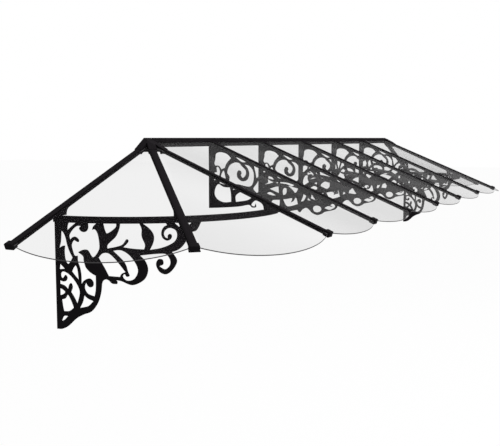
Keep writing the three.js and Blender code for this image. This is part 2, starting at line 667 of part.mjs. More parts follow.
function innerBracket() {
  const along = INNER_REACH / INNER_PATTERN.reach;
  const down = INNER_DROP / INNER_PATTERN.drop;
  const underside = (out) => rafterUnderside(out - FAN_OFFSET);
  const place = (s, depth) => {
    const hang = depth - INNER_PATTERN.top - INNER_PATTERN.slope * s;
    return new THREE.Vector2(s * along, underside(s * along) - hang * down);
  };
  const flat = (x, y) => new THREE.Vector2(x, y);
  const points = contour([...INNER_EDGE, [0, INNER_PATTERN.top + INNER_PATTERN.drop]], place);
  const foot = points.pop();
  const tongue = (out) => underside(out) + SLOT_DEPTH * PLUMB - CLEARANCE;
  const railClear = RAIL_FRONT + 2 * CLEARANCE;
  const legTop = -RAIL_HEIGHT / 2 - CLEARANCE;
  const outline = [
    foot, ...points, flat(INNER_REACH, tongue(INNER_REACH)), flat(railClear, tongue(railClear)),
    flat(railClear, legTop), flat(0, legTop),
  ];
  return toGeometry(scrollPlate(outline, INNER_OPENINGS, place)).applyMatrix4(standMatrix);
}

for (let i = 1; i < BAYS; i += 1) {
  const bracket = addMesh(canopy, `inner_bracket_${i}`, innerBracket(), frameFinish());
  bracket.position.x = i * BAY_WIDTH - RIDGE_HALF;
}

export default canopy;
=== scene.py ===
"""Looks of a glazed wall canopy: a straight middle of equal bays between two quarter-round fans.

Metres, +Z up. The wall is the plane Y = 0, the canopy reaches out towards -Y, and the origin is the
centre of the wall rail's back face.
"""

from __future__ import annotations

import logging
import math
from abc import ABC, abstractmethod
from collections.abc import Callable
from dataclasses import dataclass
from enum import Enum
from functools import partial

import bmesh
import bpy
from mathutils import Matrix, Vector, geometry


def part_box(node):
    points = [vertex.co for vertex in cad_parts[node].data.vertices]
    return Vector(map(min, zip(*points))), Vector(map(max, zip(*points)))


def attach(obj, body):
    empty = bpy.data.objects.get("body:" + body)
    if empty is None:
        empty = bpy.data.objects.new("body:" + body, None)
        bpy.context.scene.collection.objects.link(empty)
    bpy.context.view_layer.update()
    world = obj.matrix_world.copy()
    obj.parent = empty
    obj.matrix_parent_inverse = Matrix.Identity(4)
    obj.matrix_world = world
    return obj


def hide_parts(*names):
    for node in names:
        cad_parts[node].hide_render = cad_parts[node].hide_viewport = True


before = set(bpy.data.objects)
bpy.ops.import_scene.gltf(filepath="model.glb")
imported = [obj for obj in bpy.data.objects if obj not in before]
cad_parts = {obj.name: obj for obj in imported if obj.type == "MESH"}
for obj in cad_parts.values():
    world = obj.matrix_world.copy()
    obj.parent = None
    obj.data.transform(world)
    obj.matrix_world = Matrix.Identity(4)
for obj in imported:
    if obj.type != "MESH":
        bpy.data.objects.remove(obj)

LOG = logging.getLogger("canopy")
BODY = "root"
MM = 0.001
WELD = 1e-6
SLIVER = 1e-5
SMOOTH_ANGLE = math.radians(35.0)
CREASE_ANGLE = 60.0
WHITE = (1.0, 1.0, 1.0, 1.0)

# Faces across a rounding: on a hairline edge, a plain edge and a broad corner
HAIR_STEPS = 2
EDGE_STEPS = 3
CORNER_STEPS = 5

Triple = tuple[float, float, float]
Points = list[tuple[float, float]]
Runs = tuple[tuple[float, ...], ...]
Contours = list[list[list[Vector]]]
Elements = list[bmesh.types.BMVert | bmesh.types.BMEdge | bmesh.types.BMFace]


class Named(Enum):
    """A choice whose name is also a word in the nodes' names."""

    @property
    def label(self) -> str:
        """The word in a node's name."""
        return self.name.lower()


class Side(Named):
    """The two ends of the canopy, seen from the front."""

    LEFT = -1
    RIGHT = 1


class Place(Named):
    """The rafters of a fan, counted round from the straight middle to the wall."""

    FRONT = 0
    HIP = 1
    WALL = 2


@dataclass(frozen=True)
class Layout:
    """The lines that every sub-assembly is set out from.

    Each fan panel is named for a rafter beside it, and its middle lies some fan steps from the front.
    """

    bays: int = 6
    bay_width: float = 0.6
    pitch: float = math.radians(22.5)
    fan_step: float = math.radians(45.0)
    fan_panels: tuple[tuple[Place, float], ...] = ((Place.FRONT, 0.5), (Place.WALL, 1.5))
    fan_offset: float = 0.0212
    axis_height: float = -0.0027
    rafter_height: float = 0.0185
    rafter_width: float = 0.0335
    groove_lip: float = 0.0085
    clearance: float = 0.0003
    panel_thickness: float = 0.004
    beam_radius: float = 0.66

    @property
    def slope(self) -> float:
        """Fall of the roof for each metre of run."""
        return math.tan(self.pitch)

    @property
    def plumb(self) -> float:
        """Length along the roof for each metre of run."""
        return 1.0 / math.cos(self.pitch)

    @property
    def ridge_half(self) -> float:
        """Half of the length between the two hubs."""
        return self.bays * self.bay_width / 2.0

    def axis_at(self, run: float) -> float:
        """Height of a rafter's axis at a run from its hub."""
        return self.axis_height - self.slope * run

    def under_at(self, run: float) -> float:
        """Height of a rafter's underside at a run from its hub."""
        return self.axis_at(run) - self.rafter_height / 2.0 * self.plumb

    def panel_low(self, run: float) -> float:
        """Height of a straight panel's underside at a run from the hub."""
        return self.under_at(run) + self.groove_lip * self.plumb + self.clearance

    def panel_high(self, run: float) -> float:
        """Height of a straight panel's upper face at a run from the hub."""
        return self.panel_low(run) + self.panel_thickness * self.plumb

    def fan_low(self, along: float) -> float:
        """Height of a fan panel's underside at a distance from the hub along the panel's middle.

        Args:
            along: the distance.

        Returns:
            The height.
        """
        half_step = self.fan_step / 2.0
        fall = self.slope / math.cos(half_step)
        mouth = self.rafter_width / 2.0 * math.sin(half_step)
        return self.panel_low(0.0) + fall * (mouth - along)

    def hub_x(self, side: Side) -> float:
        """Where a hub stands along the wall."""
        return side.value * self.ridge_half

    def rafter_x(self, number: int) -> float:
        """Where a rafter of the straight middle stands along the wall, counted from the left hub."""
        return number * self.bay_width - self.ridge_half

    def turn(self, side: Side, step: float) -> float:
        """Turn about +Z of a line that lies a number of fan steps round from the front."""
        return side.value * step * self.fan_step

    def hub_frame(self, x: float, turn: float) -> Matrix:
        """Frame at the ridge, at a place along the wall, turned so that -Y runs out along a rafter."""
        return Matrix.Translation((x, -self.fan_offset, 0.0)) @ Matrix.Rotation(turn, 4, "Z")

    def rafter_frame(self, x: float, turn: float) -> Matrix:
        """Frame of a rafter: X across it, Y square off the roof and Z down along it.

        Args:
            x: place along the wall.
            turn: turn about +Z.

        Returns:
            The frame as a matrix.
        """
        lift = Matrix.Translation((0.0, 0.0, self.axis_height))
        tilt = Matrix.Rotation(math.pi / 2.0 + self.pitch, 4, "X")
        return self.hub_frame(x, turn) @ lift @ tilt


class NodeTree:
    """A thin hand on a shader tree: adds nodes and joins their sockets."""

    def __init__(self, tree: bpy.types.NodeTree) -> None:
        """Takes the tree to work on."""
        self.tree = tree

    def add(self, kind: str, **values: object) -> bpy.types.Node:
        """Adds a node.

        Args:
            kind: the node's type name.
            values: settings of the node.

        Returns:
            The new node.
        """
        node = self.tree.nodes.new(kind)
        for name, value in values.items():
            setattr(node, name, value)
        return node

    def join(self, source: object, socket: bpy.types.NodeSocket) -> None:
        """Links an input, or sets it.

        Args:
            source: a socket to link from, or a plain value.
            socket: the input.
        """
        if isinstance(source, bpy.types.NodeSocket):
            self.tree.links.new(source, socket)
        else:
            socket.default_value = source

    def feed(self, node: bpy.types.Node, **sources: object) -> bpy.types.Node:
        """Joins a node's inputs by name, with _ for a space.

        Args:
            node: the node that is fed.
            sources: a socket to link from, or a plain value.

        Returns:
            The same node.
        """
        for name, source in sources.items():
            self.join(source, node.inputs[name.replace("_", " ")])
        return node

    def line_up(self, node: bpy.types.Node, *sources: object) -> bpy.types.NodeSocket:
        """Joins a node's inputs in their order.

        Args:
            node: the node that is fed.
            sources: a socket to link from, or a plain value, for each input.

        Returns:
            The node's first output.
        """
        for socket, source in zip(node.inputs, sources):
            self.join(source, socket)
        return node.outputs[0]

    def math(self, operation: str, first: object, second: object) -> bpy.types.NodeSocket:
        """Adds a math node on two sockets or numbers, and gives its output."""
        return self.line_up(self.add("ShaderNodeMath", operation=operation), first, second)

    def mix(self, share: object, first: object, second: object) -> bpy.types.NodeSocket:
        """Adds a mix of two shaders, and gives its output."""
        return self.line_up(self.add("ShaderNodeMixShader"), share, first, second)

    def noise(self, where: bpy.types.NodeSocket, scale: object, detail: float = 0.0) -> bpy.types.NodeSocket:
        """Adds a noise texture.

        Args:
            where: the place at which it is read.
            scale: a socket or a number, in waves per metre.
            detail: how many finer layers it has.

        Returns:
            The noise's value.
        """
        node = self.feed(self.add("ShaderNodeTexNoise"), Vector=where, Scale=scale, Detail=detail)
        return node.outputs["Fac"]


class GrainGroup:
    """Shader group with the uneven tone, fine grain and settled dust of a sprayed or moulded skin."""

    NAME = "skin_grain"
    INPUTS = (
        ("Color", "NodeSocketColor"),
        ("Dust Color", "NodeSocketColor"),
        ("Roughness", "NodeSocketFloat"),
        ("Grain", "NodeSocketFloat"),
        ("Unevenness", "NodeSocketFloat"),
        ("Dust", "NodeSocketFloat"),
    )
    OUTPUTS = (
        ("Color", "NodeSocketColor"),
        ("Roughness", "NodeSocketFloat"),
        ("Height", "NodeSocketFloat"),
    )
    BROAD_SCALE = 7.0
    BROAD_DETAIL = 3.0
    CLOUD_SCALE = 38.0
    CLOUD_DETAIL = 2.0
    GRAIN_DETAIL = 1.0
    FINE_FACTOR = 3.1
    FINE_HEIGHT = 0.4
    GRAIN_TONE = 0.5
    MEAN_TONE = 0.85
    ROUGH_SWING = 0.18

    # Sockets of a Mix node that mixes colours
    MIX_FIRST = 6
    MIX_SECOND = 7
    MIX_RESULT = 2

    @classmethod
    def get(cls) -> bpy.types.NodeTree:
        """The group, made the first time that it is asked for."""
        return bpy.data.node_groups.get(cls.NAME) or cls.make()

    @classmethod
    def make(cls) -> bpy.types.NodeTree:
        """Builds the group.

        Returns:
            The new shader tree.
        """
        tree = bpy.data.node_groups.new(cls.NAME, "ShaderNodeTree")
        for name, kind in cls.INPUTS:
            tree.interface.new_socket(name, in_out="INPUT", socket_type=kind)
        for name, kind in cls.OUTPUTS:
            tree.interface.new_socket(name, in_out="OUTPUT", socket_type=kind)
        hand = NodeTree(tree)
        given = hand.add("NodeGroupInput").outputs
        where = hand.add("ShaderNodeTexCoord").outputs["Object"]
        broad = hand.noise(where, cls.BROAD_SCALE, cls.BROAD_DETAIL)
        cloud = hand.noise(where, cls.CLOUD_SCALE, cls.CLOUD_DETAIL)
        coarse = hand.noise(where, given["Grain"], cls.GRAIN_DETAIL)
        fine = hand.noise(where, hand.math("MULTIPLY", given["Grain"], cls.FINE_FACTOR))
        height = hand.math("ADD", coarse, hand.math("MULTIPLY", fine, cls.FINE_HEIGHT))

        grainy = hand.math("ADD", broad, hand.math("MULTIPLY", height, cls.GRAIN_TONE))
        swing = hand.math("SUBTRACT", grainy, cls.MEAN_TONE)
        tone = hand.math("ADD", 1.0, hand.math("MULTIPLY", swing, given["Unevenness"]))
        toned = hand.feed(hand.add("ShaderNodeVectorMath", operation="SCALE"), Scale=tone)
        hand.join(given["Color"], toned.inputs[0])

        upward = hand.add("ShaderNodeSeparateXYZ")
        hand.feed(upward, Vector=hand.add("ShaderNodeNewGeometry").outputs["Normal"])
        settled = hand.math("MULTIPLY", hand.math("MAXIMUM", upward.outputs["Z"], 0.0), cloud)
        dust = hand.math("MULTIPLY", settled, given["Dust"])
        mixed = hand.feed(hand.add("ShaderNodeMix", data_type="RGBA"), Factor=dust)
        hand.join(toned.outputs[0], mixed.inputs[cls.MIX_FIRST])
        hand.join(given["Dust Color"], mixed.inputs[cls.MIX_SECOND])

        rough = hand.math("ADD", given["Roughness"], hand.math("MULTIPLY", swing, cls.ROUGH_SWING))
        hand.feed(
            hand.add("NodeGroupOutput"),
            Color=mixed.outputs[cls.MIX_RESULT],
            Roughness=hand.math("ADD", rough, dust),
            Height=height,
        )
        return tree


@dataclass(frozen=True)
class Finish(ABC):
    """A named finish, made into a material the first time that it is asked for."""

    name: str
    color: Triple

    def material(self) -> bpy.types.Material:
        """The finish as a material.

        Returns:
            The material.
        """
        found = bpy.data.materials.get(self.name)
        if found:
            return found
        material = bpy.data.materials.new(self.name)
        material.use_nodes = True
        self.wire(NodeTree(material.node_tree), material.node_tree.nodes["Principled BSDF"])
        return material

    @abstractmethod
    def wire(self, hand: NodeTree, shader: bpy.types.Node) -> None:
        """Adds the finish's nodes to a material's tree, and joins them to its shader."""


@dataclass(frozen=True)
class SkinFinish(Finish):
    """A dense sprayed, moulded or plated skin with a fine grain."""

    roughness: float
    specular: float
    grain: float
    bump: float
    unevenness: float = 0.35
    dust: float = 0.012
    metallic: float = 0.0
    dust_color: Triple = (0.16, 0.155, 0.15)
    bump_strength: float = 0.6

    def wire(self, hand: NodeTree, shader: bpy.types.Node) -> None:
        """Gives the material's shader the grained skin.

        Args:
            hand: the material's tree.
            shader: its shader.
        """
        grain = hand.add("ShaderNodeGroup", node_tree=GrainGroup.get())
        hand.feed(
            grain,
            Color=(*self.color, 1.0),
            Dust_Color=(*self.dust_color, 1.0),
            Roughness=self.roughness,
            Grain=self.grain,
            Unevenness=self.unevenness,
            Dust=self.dust,
        )
        bump = hand.add("ShaderNodeBump")
        hand.feed(bump, Strength=self.bump_strength, Distance=self.bump, Height=grain.outputs["Height"])
        hand.feed(
            shader,
            Base_Color=grain.outputs["Color"],
            Roughness=grain.outputs["Roughness"],
            Metallic=self.metallic,
            Specular_IOR_Level=self.specular,
            Normal=bump.outputs["Normal"],
        )


@dataclass(frozen=True)
class SheetFinish(Finish):
    """A clear plastic sheet, with the faint roll waves and smears of a drawn sheet.

    Where it has a slant alpha, it veils more of what lies behind it as it is seen at a slant.
    """

    alpha: float
    roughness: float
    wave: float
    smear: float
    specular: float
    sheen: float = 0.0
    sheen_roughness: float = 0.3
    slant_alpha: float | None = None
    slant_start: float = 0.61
    slant_end: float = 0.78
    slant_blend: float = 0.5
    wave_scale: float = 6.0
    smear_scale: float = 14.0
    smear_detail: float = 4.0
    bump_strength: float = 0.5

    def veil(self, hand: NodeTree) -> object:
        """How much the sheet veils.

        Args:
            hand: the material's tree.

        Returns:
            A number, or a socket where it changes with the slant.
        """
        if self.slant_alpha is None:
            return self.alpha
        slant = hand.feed(hand.add("ShaderNodeLayerWeight"), Blend=self.slant_blend)
        ease = hand.add("ShaderNodeMapRange", interpolation_type="SMOOTHSTEP")
        hand.feed(
            ease,
            Value=slant.outputs["Facing"],
            From_Min=self.slant_start,
            From_Max=self.slant_end,
            To_Min=self.alpha,
            To_Max=self.slant_alpha,
        )
        return ease.outputs["Result"]

    def wire(self, hand: NodeTree, shader: bpy.types.Node) -> None:
        """Gives the material's shader the clear sheet.

        Args:
            hand: the material's tree.
            shader: its shader.
        """
        where = hand.add("ShaderNodeTexCoord").outputs["Object"]
        wave = hand.noise(where, self.wave_scale)
        cloud = hand.noise(where, self.smear_scale, self.smear_detail)
        bump = hand.add("ShaderNodeBump")
        hand.feed(bump, Strength=self.bump_strength, Distance=self.wave, Height=wave)
        hand.feed(
            shader,
            Base_Color=(*self.color, 1.0),
            Roughness=hand.math("ADD", self.roughness, hand.math("MULTIPLY", cloud, self.smear)),
            Specular_IOR_Level=self.specular,
            Sheen_Weight=self.sheen,
            Sheen_Roughness=self.sheen_roughness,
            Alpha=self.veil(hand),
            Normal=bump.outputs["Normal"],
        )


FRAME_COAT = SkinFinish(
    "frame_coat", (0.0115, 0.0100, 0.0115), roughness=0.56, specular=0.0015, grain=620.0, bump=0.00006
)
SCROLL_COAT = SkinFinish(
    "scroll_coat", (0.0110, 0.0096, 0.0110), roughness=0.52, specular=0.004, grain=620.0, bump=0.00005
)
CAP_PLASTIC = SkinFinish(
    "cap_plastic", (0.0090, 0.0080, 0.0090), roughness=0.62, specular=0.006, grain=900.0, bump=0.00004
)
SEAL_RUBBER = SkinFinish(
    "seal_rubber", (0.0025, 0.0023, 0.0025), roughness=0.75, specular=0.03, grain=1400.0, bump=0.00002,
    dust=0.005,
)
SCREW_STEEL = SkinFinish(
    "screw_steel", (0.02, 0.019, 0.02), roughness=0.42, specular=0.2, grain=800.0, bump=0.00002,
    metallic=0.6,
)
CLEAR_SHEET = SheetFinish(
    "clear_sheet", (0.012, 0.01, 0.012), alpha=0.055, roughness=0.06, wave=0.0004, smear=0.08,
    specular=0.012, sheen=1.0, slant_alpha=0.175,
)
# Opaque grey on the sheet's cut rim: a painted glint that stands in for the light a clear edge catches
SHEET_RIM_GLINT = SheetFinish(
    "sheet_rim_painted_glint", (0.075, 0.072, 0.075), alpha=1.0, roughness=0.3, wave=0.0002, smear=0.15, specular=0.06
)


class Workpiece:
    """A bmesh on its way to becoming a finished piece."""

    def __init__(self) -> None:
        """Starts with an empty mesh."""
        self.bm = bmesh.new()

    @classmethod
    def from_mesh(cls, mesh: bpy.types.Mesh) -> Workpiece:
        """Starts from a welded copy of a mesh.

        Args:
            mesh: the mesh to copy.

        Returns:
            The new workpiece.
        """
        work = cls()
        work.bm.from_mesh(mesh)
        bmesh.ops.remove_doubles(work.bm, verts=work.bm.verts, dist=WELD)
        return work

    @classmethod
    def from_node(cls, node: str) -> Workpiece:
        """Starts from a welded copy of a CAD node."""
        return cls.from_mesh(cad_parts[node].data)

    @classmethod
    def from_maker(cls, maker: bpy.types.Object) -> Workpiece:
        """Starts from the mesh that an object gives, and removes the object.

        Args:
            maker: the object, with its modifiers or its curves.

        Returns:
            The new workpiece.
        """
        shaped = maker.evaluated_get(bpy.context.evaluated_depsgraph_get())
        work = cls.from_mesh(bpy.data.meshes.new_from_object(shaped))
        bpy.data.objects.remove(maker)
        return work

    @property
    def geom(self) -> Elements:
        """Everything in the mesh."""
        return [*self.bm.verts, *self.bm.edges, *self.bm.faces]

    def outline(self, points: Points, level: float = 0.0) -> bmesh.types.BMFace:
        """Draws a flat face in the XY plane, with its corners at the points and its place along Z."""
        return self.bm.faces.new([self.bm.verts.new((x, y, level)) for x, y in points])

    def round_corners(self, face: bmesh.types.BMFace, radius: float, segments: int) -> bmesh.types.BMFace:
        """Rounds all the corners of a lone flat face.

        Args:
            face: the face.
            radius: how far from a corner the rounding starts.
            segments: edges in each rounding.

        Returns:
            The rounded face.
        """
        before = set(self.bm.faces) - {face}
        self.bevel(list(face.verts), radius, segments, "VERTICES")
        return next(f for f in self.bm.faces if f not in before)

    def extrude(self, face: bmesh.types.BMFace, rise: float, lone: bool = True) -> list[bmesh.types.BMVert]:
        """Draws a face out along Z.

        Args:
            face: the face at the start.
            rise: how far it goes.
            lone: whether the face stays as the start of a new bar, and isn't part of a closed mesh.

        Returns:
            The vertices at the end.
        """
        geom = [face] if lone else [face, *face.edges]
        made = bmesh.ops.extrude_face_region(self.bm, geom=geom)["geom"]
        far = [v for v in made if isinstance(v, bmesh.types.BMVert)]
        bmesh.ops.translate(self.bm, verts=far, vec=(0.0, 0.0, rise))
        return far

    def bevel(self, geom: Elements, width: float, segments: int, affect: str = "EDGES") -> None:
        """Rounds edges or corners.

        Args:
            geom: the edges or vertices.
            width: how far from them the rounding starts.
            segments: faces or edges across each rounding.
            affect: whether edges or vertices are rounded, in the operator's words.
        """
        bmesh.ops.bevel(
            self.bm, geom=geom, offset=width, segments=segments, profile=0.5, affect=affect,
            material=-1, clamp_overlap=True,
        )

    def sharp_edges(self, least: float) -> list[bmesh.types.BMEdge]:
        """The edges whose faces meet at more than an angle, in degrees."""
        limit = math.radians(least)
        return [e for e in self.bm.edges if e.is_manifold and e.calc_face_angle(0.0) > limit]

    def cut(self, at: Triple, normal: Triple) -> None:
        """Cuts new edges along a plane, given by a point and its normal."""
        bmesh.ops.bisect_plane(self.bm, geom=self.geom, plane_co=at, plane_no=normal, dist=WELD)

    def drop_slivers(self) -> None:
        """Removes edges and faces too small to see."""
        bmesh.ops.dissolve_degenerate(self.bm, dist=SLIVER, edges=self.bm.edges)

    def finish(self, name: str, place: Matrix | None = None) -> bpy.types.Object:
        """Puts the shape in its place and makes it an object.

        Args:
            name: the object's name.
            place: where the shape goes.

        Returns:
            The object, at the origin, with its place in its mesh.
        """
        if place is not None:
            bmesh.ops.transform(self.bm, matrix=place, verts=self.bm.verts)
        bmesh.ops.recalc_face_normals(self.bm, faces=self.bm.faces)
        if self.bm.calc_volume(signed=True) < 0.0:
            bmesh.ops.reverse_faces(self.bm, faces=self.bm.faces)
        mesh = bpy.data.meshes.new(name)
        self.bm.to_mesh(mesh)
        self.bm.free()
        mesh.shade_smooth()
        mesh.set_sharp_from_angle(angle=SMOOTH_ANGLE)
        piece = bpy.data.objects.new(name, mesh)
        bpy.context.scene.collection.objects.link(piece)
        return piece


def upright(x: float) -> Matrix:
    """Stands a drawing of (out from the wall, up) square to the wall, at a place along it."""
    return Matrix(((0, 0, 1, x), (-1, 0, 0, 0), (0, 1, 0, 0), (0, 0, 0, 1)))


@dataclass
class SubAssembly:
    """Pieces that are set out from the same lines and handed to the frame in the same way."""

    layout: Layout

    @staticmethod
    def dress(work: Workpiece, node: str, slot: str, *finishes: Finish, place: Matrix | None = None) -> None:
        """Finishes a workpiece, gives it its finishes and lets it stand for its CAD node.

        Args:
            work: the shape.
            node: the CAD node that it replaces.
            slot: not used.
            finishes: one for each material index of the shape.
            place: where the shape goes.
        """
        piece = work.finish(f"{node}_finished", place)
        for finish in finishes:
            piece.data.materials.append(finish.material())
        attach(piece, BODY)
        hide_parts(node)
        LOG.info("%s: %d faces", piece.name, len(piece.data.polygons))


@dataclass
class Ridge(SubAssembly):
    """The wall rail and the folded cover over it."""

    rail_height: float = 0.046
    rail_depth: float = 0.026
    groove: float = 0.008
    cover: float = 0.003
    rounding: float = 0.0011

    def build_bar(self, node: str, section: Points) -> None:
        """Draws a section out along the ridge.

        Args:
            node: the CAD node that the bar stands for.
            section: its corners as (out from the wall, up).
        """
        low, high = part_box(node)
        work = Workpiece()
        face = work.round_corners(work.outline(section), self.rounding, EDGE_STEPS)
        work.extrude(face, high.x - low.x)
        self.dress(work, node, "frame", FRAME_COAT, place=upright(low.x))

    def build(self) -> None:
        """Makes the rail and its cover."""
        lay = self.layout
        half = self.rail_height / 2.0
        depth = self.rail_depth
        back = depth - self.groove
        gap = lay.clearance
        low = {out: lay.panel_low(out - lay.fan_offset) - gap for out in (back, depth)}
        high = {out: lay.panel_high(out - lay.fan_offset) + gap for out in (back, depth)}
        top = half - self.cover - gap
        self.build_bar("wall_rail", [
            (0.0, -half), (depth, -half), (depth, low[depth]), (back, low[back]),
            (back, high[back]), (depth, high[depth]), (depth, top), (0.0, top),
        ])
        inner = depth + gap
        front = inner + self.cover
        lip = lay.panel_high(inner - lay.fan_offset) + gap
        self.build_bar("ridge_cover", [
            (0.0, half - self.cover), (inner, half - self.cover), (inner, lip),
            (front, lip), (front, half), (0.0, half),
        ])


@dataclass
class Rafters(SubAssembly):
    """Rafters with crowned backs, glazing seals in their grooves and caps on their lower ends."""

    rail_start: float = 0.0296
    rail_seal_gap: float = 0.006
    hub_start: float = 0.0443
    hub_seal_start: float = 0.096
    end_run: float = 0.945
    crown: float = 0.0098
    shoulder: float = 0.0022
    groove_height: float = 0.0065
    groove_depth: float = 0.010
    slot: float = 0.0046
    slot_depth: float = 0.004
    rounding: float = 0.0004
    seal_bead: float = 0.0017
    seal_depth: float = 0.0024
    seal_proud: float = 0.0008
    cap_start: float = 0.9213
    cap_length: float = 0.028
    cap_wall: float = 0.0037
    cap_end: float = 0.004
    cap_corner: float = 0.0042
    cap_nose: float = 0.0030
    cap_rim: float = 0.0026
    toe_level: float = -0.003
    toe_flare: float = 0.26

    def section(self) -> Points:
        """The rafter's section as (across, up), from the slot's right-hand side round to its left.

        Returns:
            The corners.
        """
        half = self.layout.rafter_width / 2.0
        top = self.layout.rafter_height / 2.0
        web = half - self.groove_depth
        lip = self.layout.groove_lip - top
        ceiling = lip + self.groove_height
        slot = self.slot / 2.0
        right = [
            (slot, self.slot_depth - top), (slot, -top), (half, -top), (half, lip), (web, lip),
            (web, ceiling), (half, ceiling), (half, top - self.shoulder), (self.crown, top),
        ]
        return right + [(-x, y) for x, y in reversed(right)]

    def seal_section(self, hand: int) -> Points:
        """The section of the rubber bead in the mouth of one groove.

        Args:
            hand: 1 for the right-hand groove, -1 for the left-hand one.

        Returns:
            The corners.
        """
        half = self.layout.rafter_width / 2.0
        root = half - self.seal_depth
        high = self.layout.groove_lip - self.layout.rafter_height / 2.0 + self.groove_height
        low = high - self.seal_bead
        proud = self.seal_proud
        corners = [(root, high), (half, high), (half + proud, low + proud), (half, low), (root, low)]
        return [(hand * x, y) for x, y in corners]

    def build_rafter(self, node: str, place: Matrix, start: float, seal_start: float) -> None:
        """Makes a rafter with its seals.

        Args:
            node: the rafter's CAD node.
            place: the rafter's frame.
            start: the run at which its upper end is cut plumb.
            seal_start: the run at which the seals start.
        """
        plumb = self.layout.plumb
        work = Workpiece()
        face = work.outline(self.section(), self.end_run * plumb)
        face = work.round_corners(face, self.rounding, HAIR_STEPS)
        upper = work.extrude(face, (start - self.end_run) * plumb)
        shear = Matrix.Identity(4)
        shear[2][1] = -self.layout.slope
        bmesh.ops.transform(work.bm, matrix=shear, verts=upper)
        bar = set(work.bm.faces)
        for hand in (1, -1):
            bead = work.outline(self.seal_section(hand), seal_start * plumb)
            work.extrude(bead, (self.cap_start - seal_start) * plumb)
        for seal in set(work.bm.faces) - bar:
            seal.material_index = 1
        self.dress(work, node, "frame", FRAME_COAT, SEAL_RUBBER, place=place)

    def build_cap(self, node: str, place: Matrix, toes: tuple[int, ...] = (-1, 1)) -> None:
        """Makes the rounded cap that is pushed over a rafter's lower end.

        Args:
            node: the cap's CAD node.
            place: the rafter's frame.
            toes: the sides across the rafter, -1 and 1, that spread at the toe.
        """
        plumb = self.layout.plumb
        shell = self.cap_wall + self.layout.clearance
        size = Vector((
            self.layout.rafter_width + 2.0 * shell,
            self.layout.rafter_height + 2.0 * shell,
            self.cap_length * plumb,
        ))
        work = Workpiece()
        bmesh.ops.create_cube(work.bm, size=1.0)
        bmesh.ops.scale(work.bm, vec=size, verts=work.bm.verts)
        along = [e for e in work.bm.edges if abs((e.verts[0].co - e.verts[1].co).z) > size.z / 2.0]
        work.bevel(along, self.cap_corner, CORNER_STEPS)
        outer = [e for e in work.bm.edges if min(v.co.z for v in e.verts) > 0.0]
        work.bevel(outer, self.cap_nose, CORNER_STEPS)
        self.flare_toes(work, size, toes)
        upper_end = SLIVER - size.z / 2.0
        mouth = [f for f in work.bm.faces if max(v.co.z for v in f.verts) < upper_end]
        whole = bmesh.ops.dissolve_faces(work.bm, faces=mouth)["region"][0]
        work.bevel(list(whole.edges), self.cap_rim, EDGE_STEPS)
        pocket = min(work.bm.faces, key=lambda f: f.calc_center_median().z)
        bmesh.ops.inset_region(work.bm, faces=[pocket], thickness=self.cap_wall - self.cap_rim)
        work.extrude(pocket, size.z - self.cap_end * plumb, lone=False)
        centre = Matrix.Translation((0.0, 0.0, (self.cap_start + self.cap_length / 2.0) * plumb))
        self.dress(work, node, "caps", CAP_PLASTIC, place=place @ centre)

    def flare_toes(self, work: Workpiece, size: Vector, toes: tuple[int, ...]) -> None:
        """Widens a cap below the panels, more and more towards its lower outer corners.

        Args:
            work: the cap so far.
            size: the cap's size.
            toes: the sides that spread.
        """
        work.cut((0.0, self.toe_level, 0.0), (0.0, 1.0, 0.0))
        depth = size.y / 2.0 + self.toe_level
        for vert in work.bm.verts:
            below = max(self.toe_level - vert.co.y, 0.0) / depth
            outward = vert.co.z / size.z + 0.5
            if math.copysign(1, vert.co.x) in toes:
                vert.co.x *= 1.0 + self.toe_flare * below * outward

    def build(self) -> None:
        """Makes all the rafters with their caps, which at the wall spread only away from it."""
        lay = self.layout
        start = self.rail_start - lay.fan_offset
        for number in range(1, lay.bays):
            place = lay.rafter_frame(lay.rafter_x(number), 0.0)
            self.build_rafter(f"rafter_front_{number + 1}", place, start, start + self.rail_seal_gap)
            self.build_cap(f"end_cap_front_{number + 1}", place)
        for side in Side:
            for spot in Place:
                name = f"{spot.label}_{side.label}"
                place = lay.rafter_frame(lay.hub_x(side), lay.turn(side, spot.value))
                self.build_rafter(f"rafter_{name}", place, self.hub_start, self.hub_seal_start)
                toes = (-side.value,) if spot is Place.WALL else (-1, 1)
                self.build_cap(f"end_cap_{name}", place, toes)


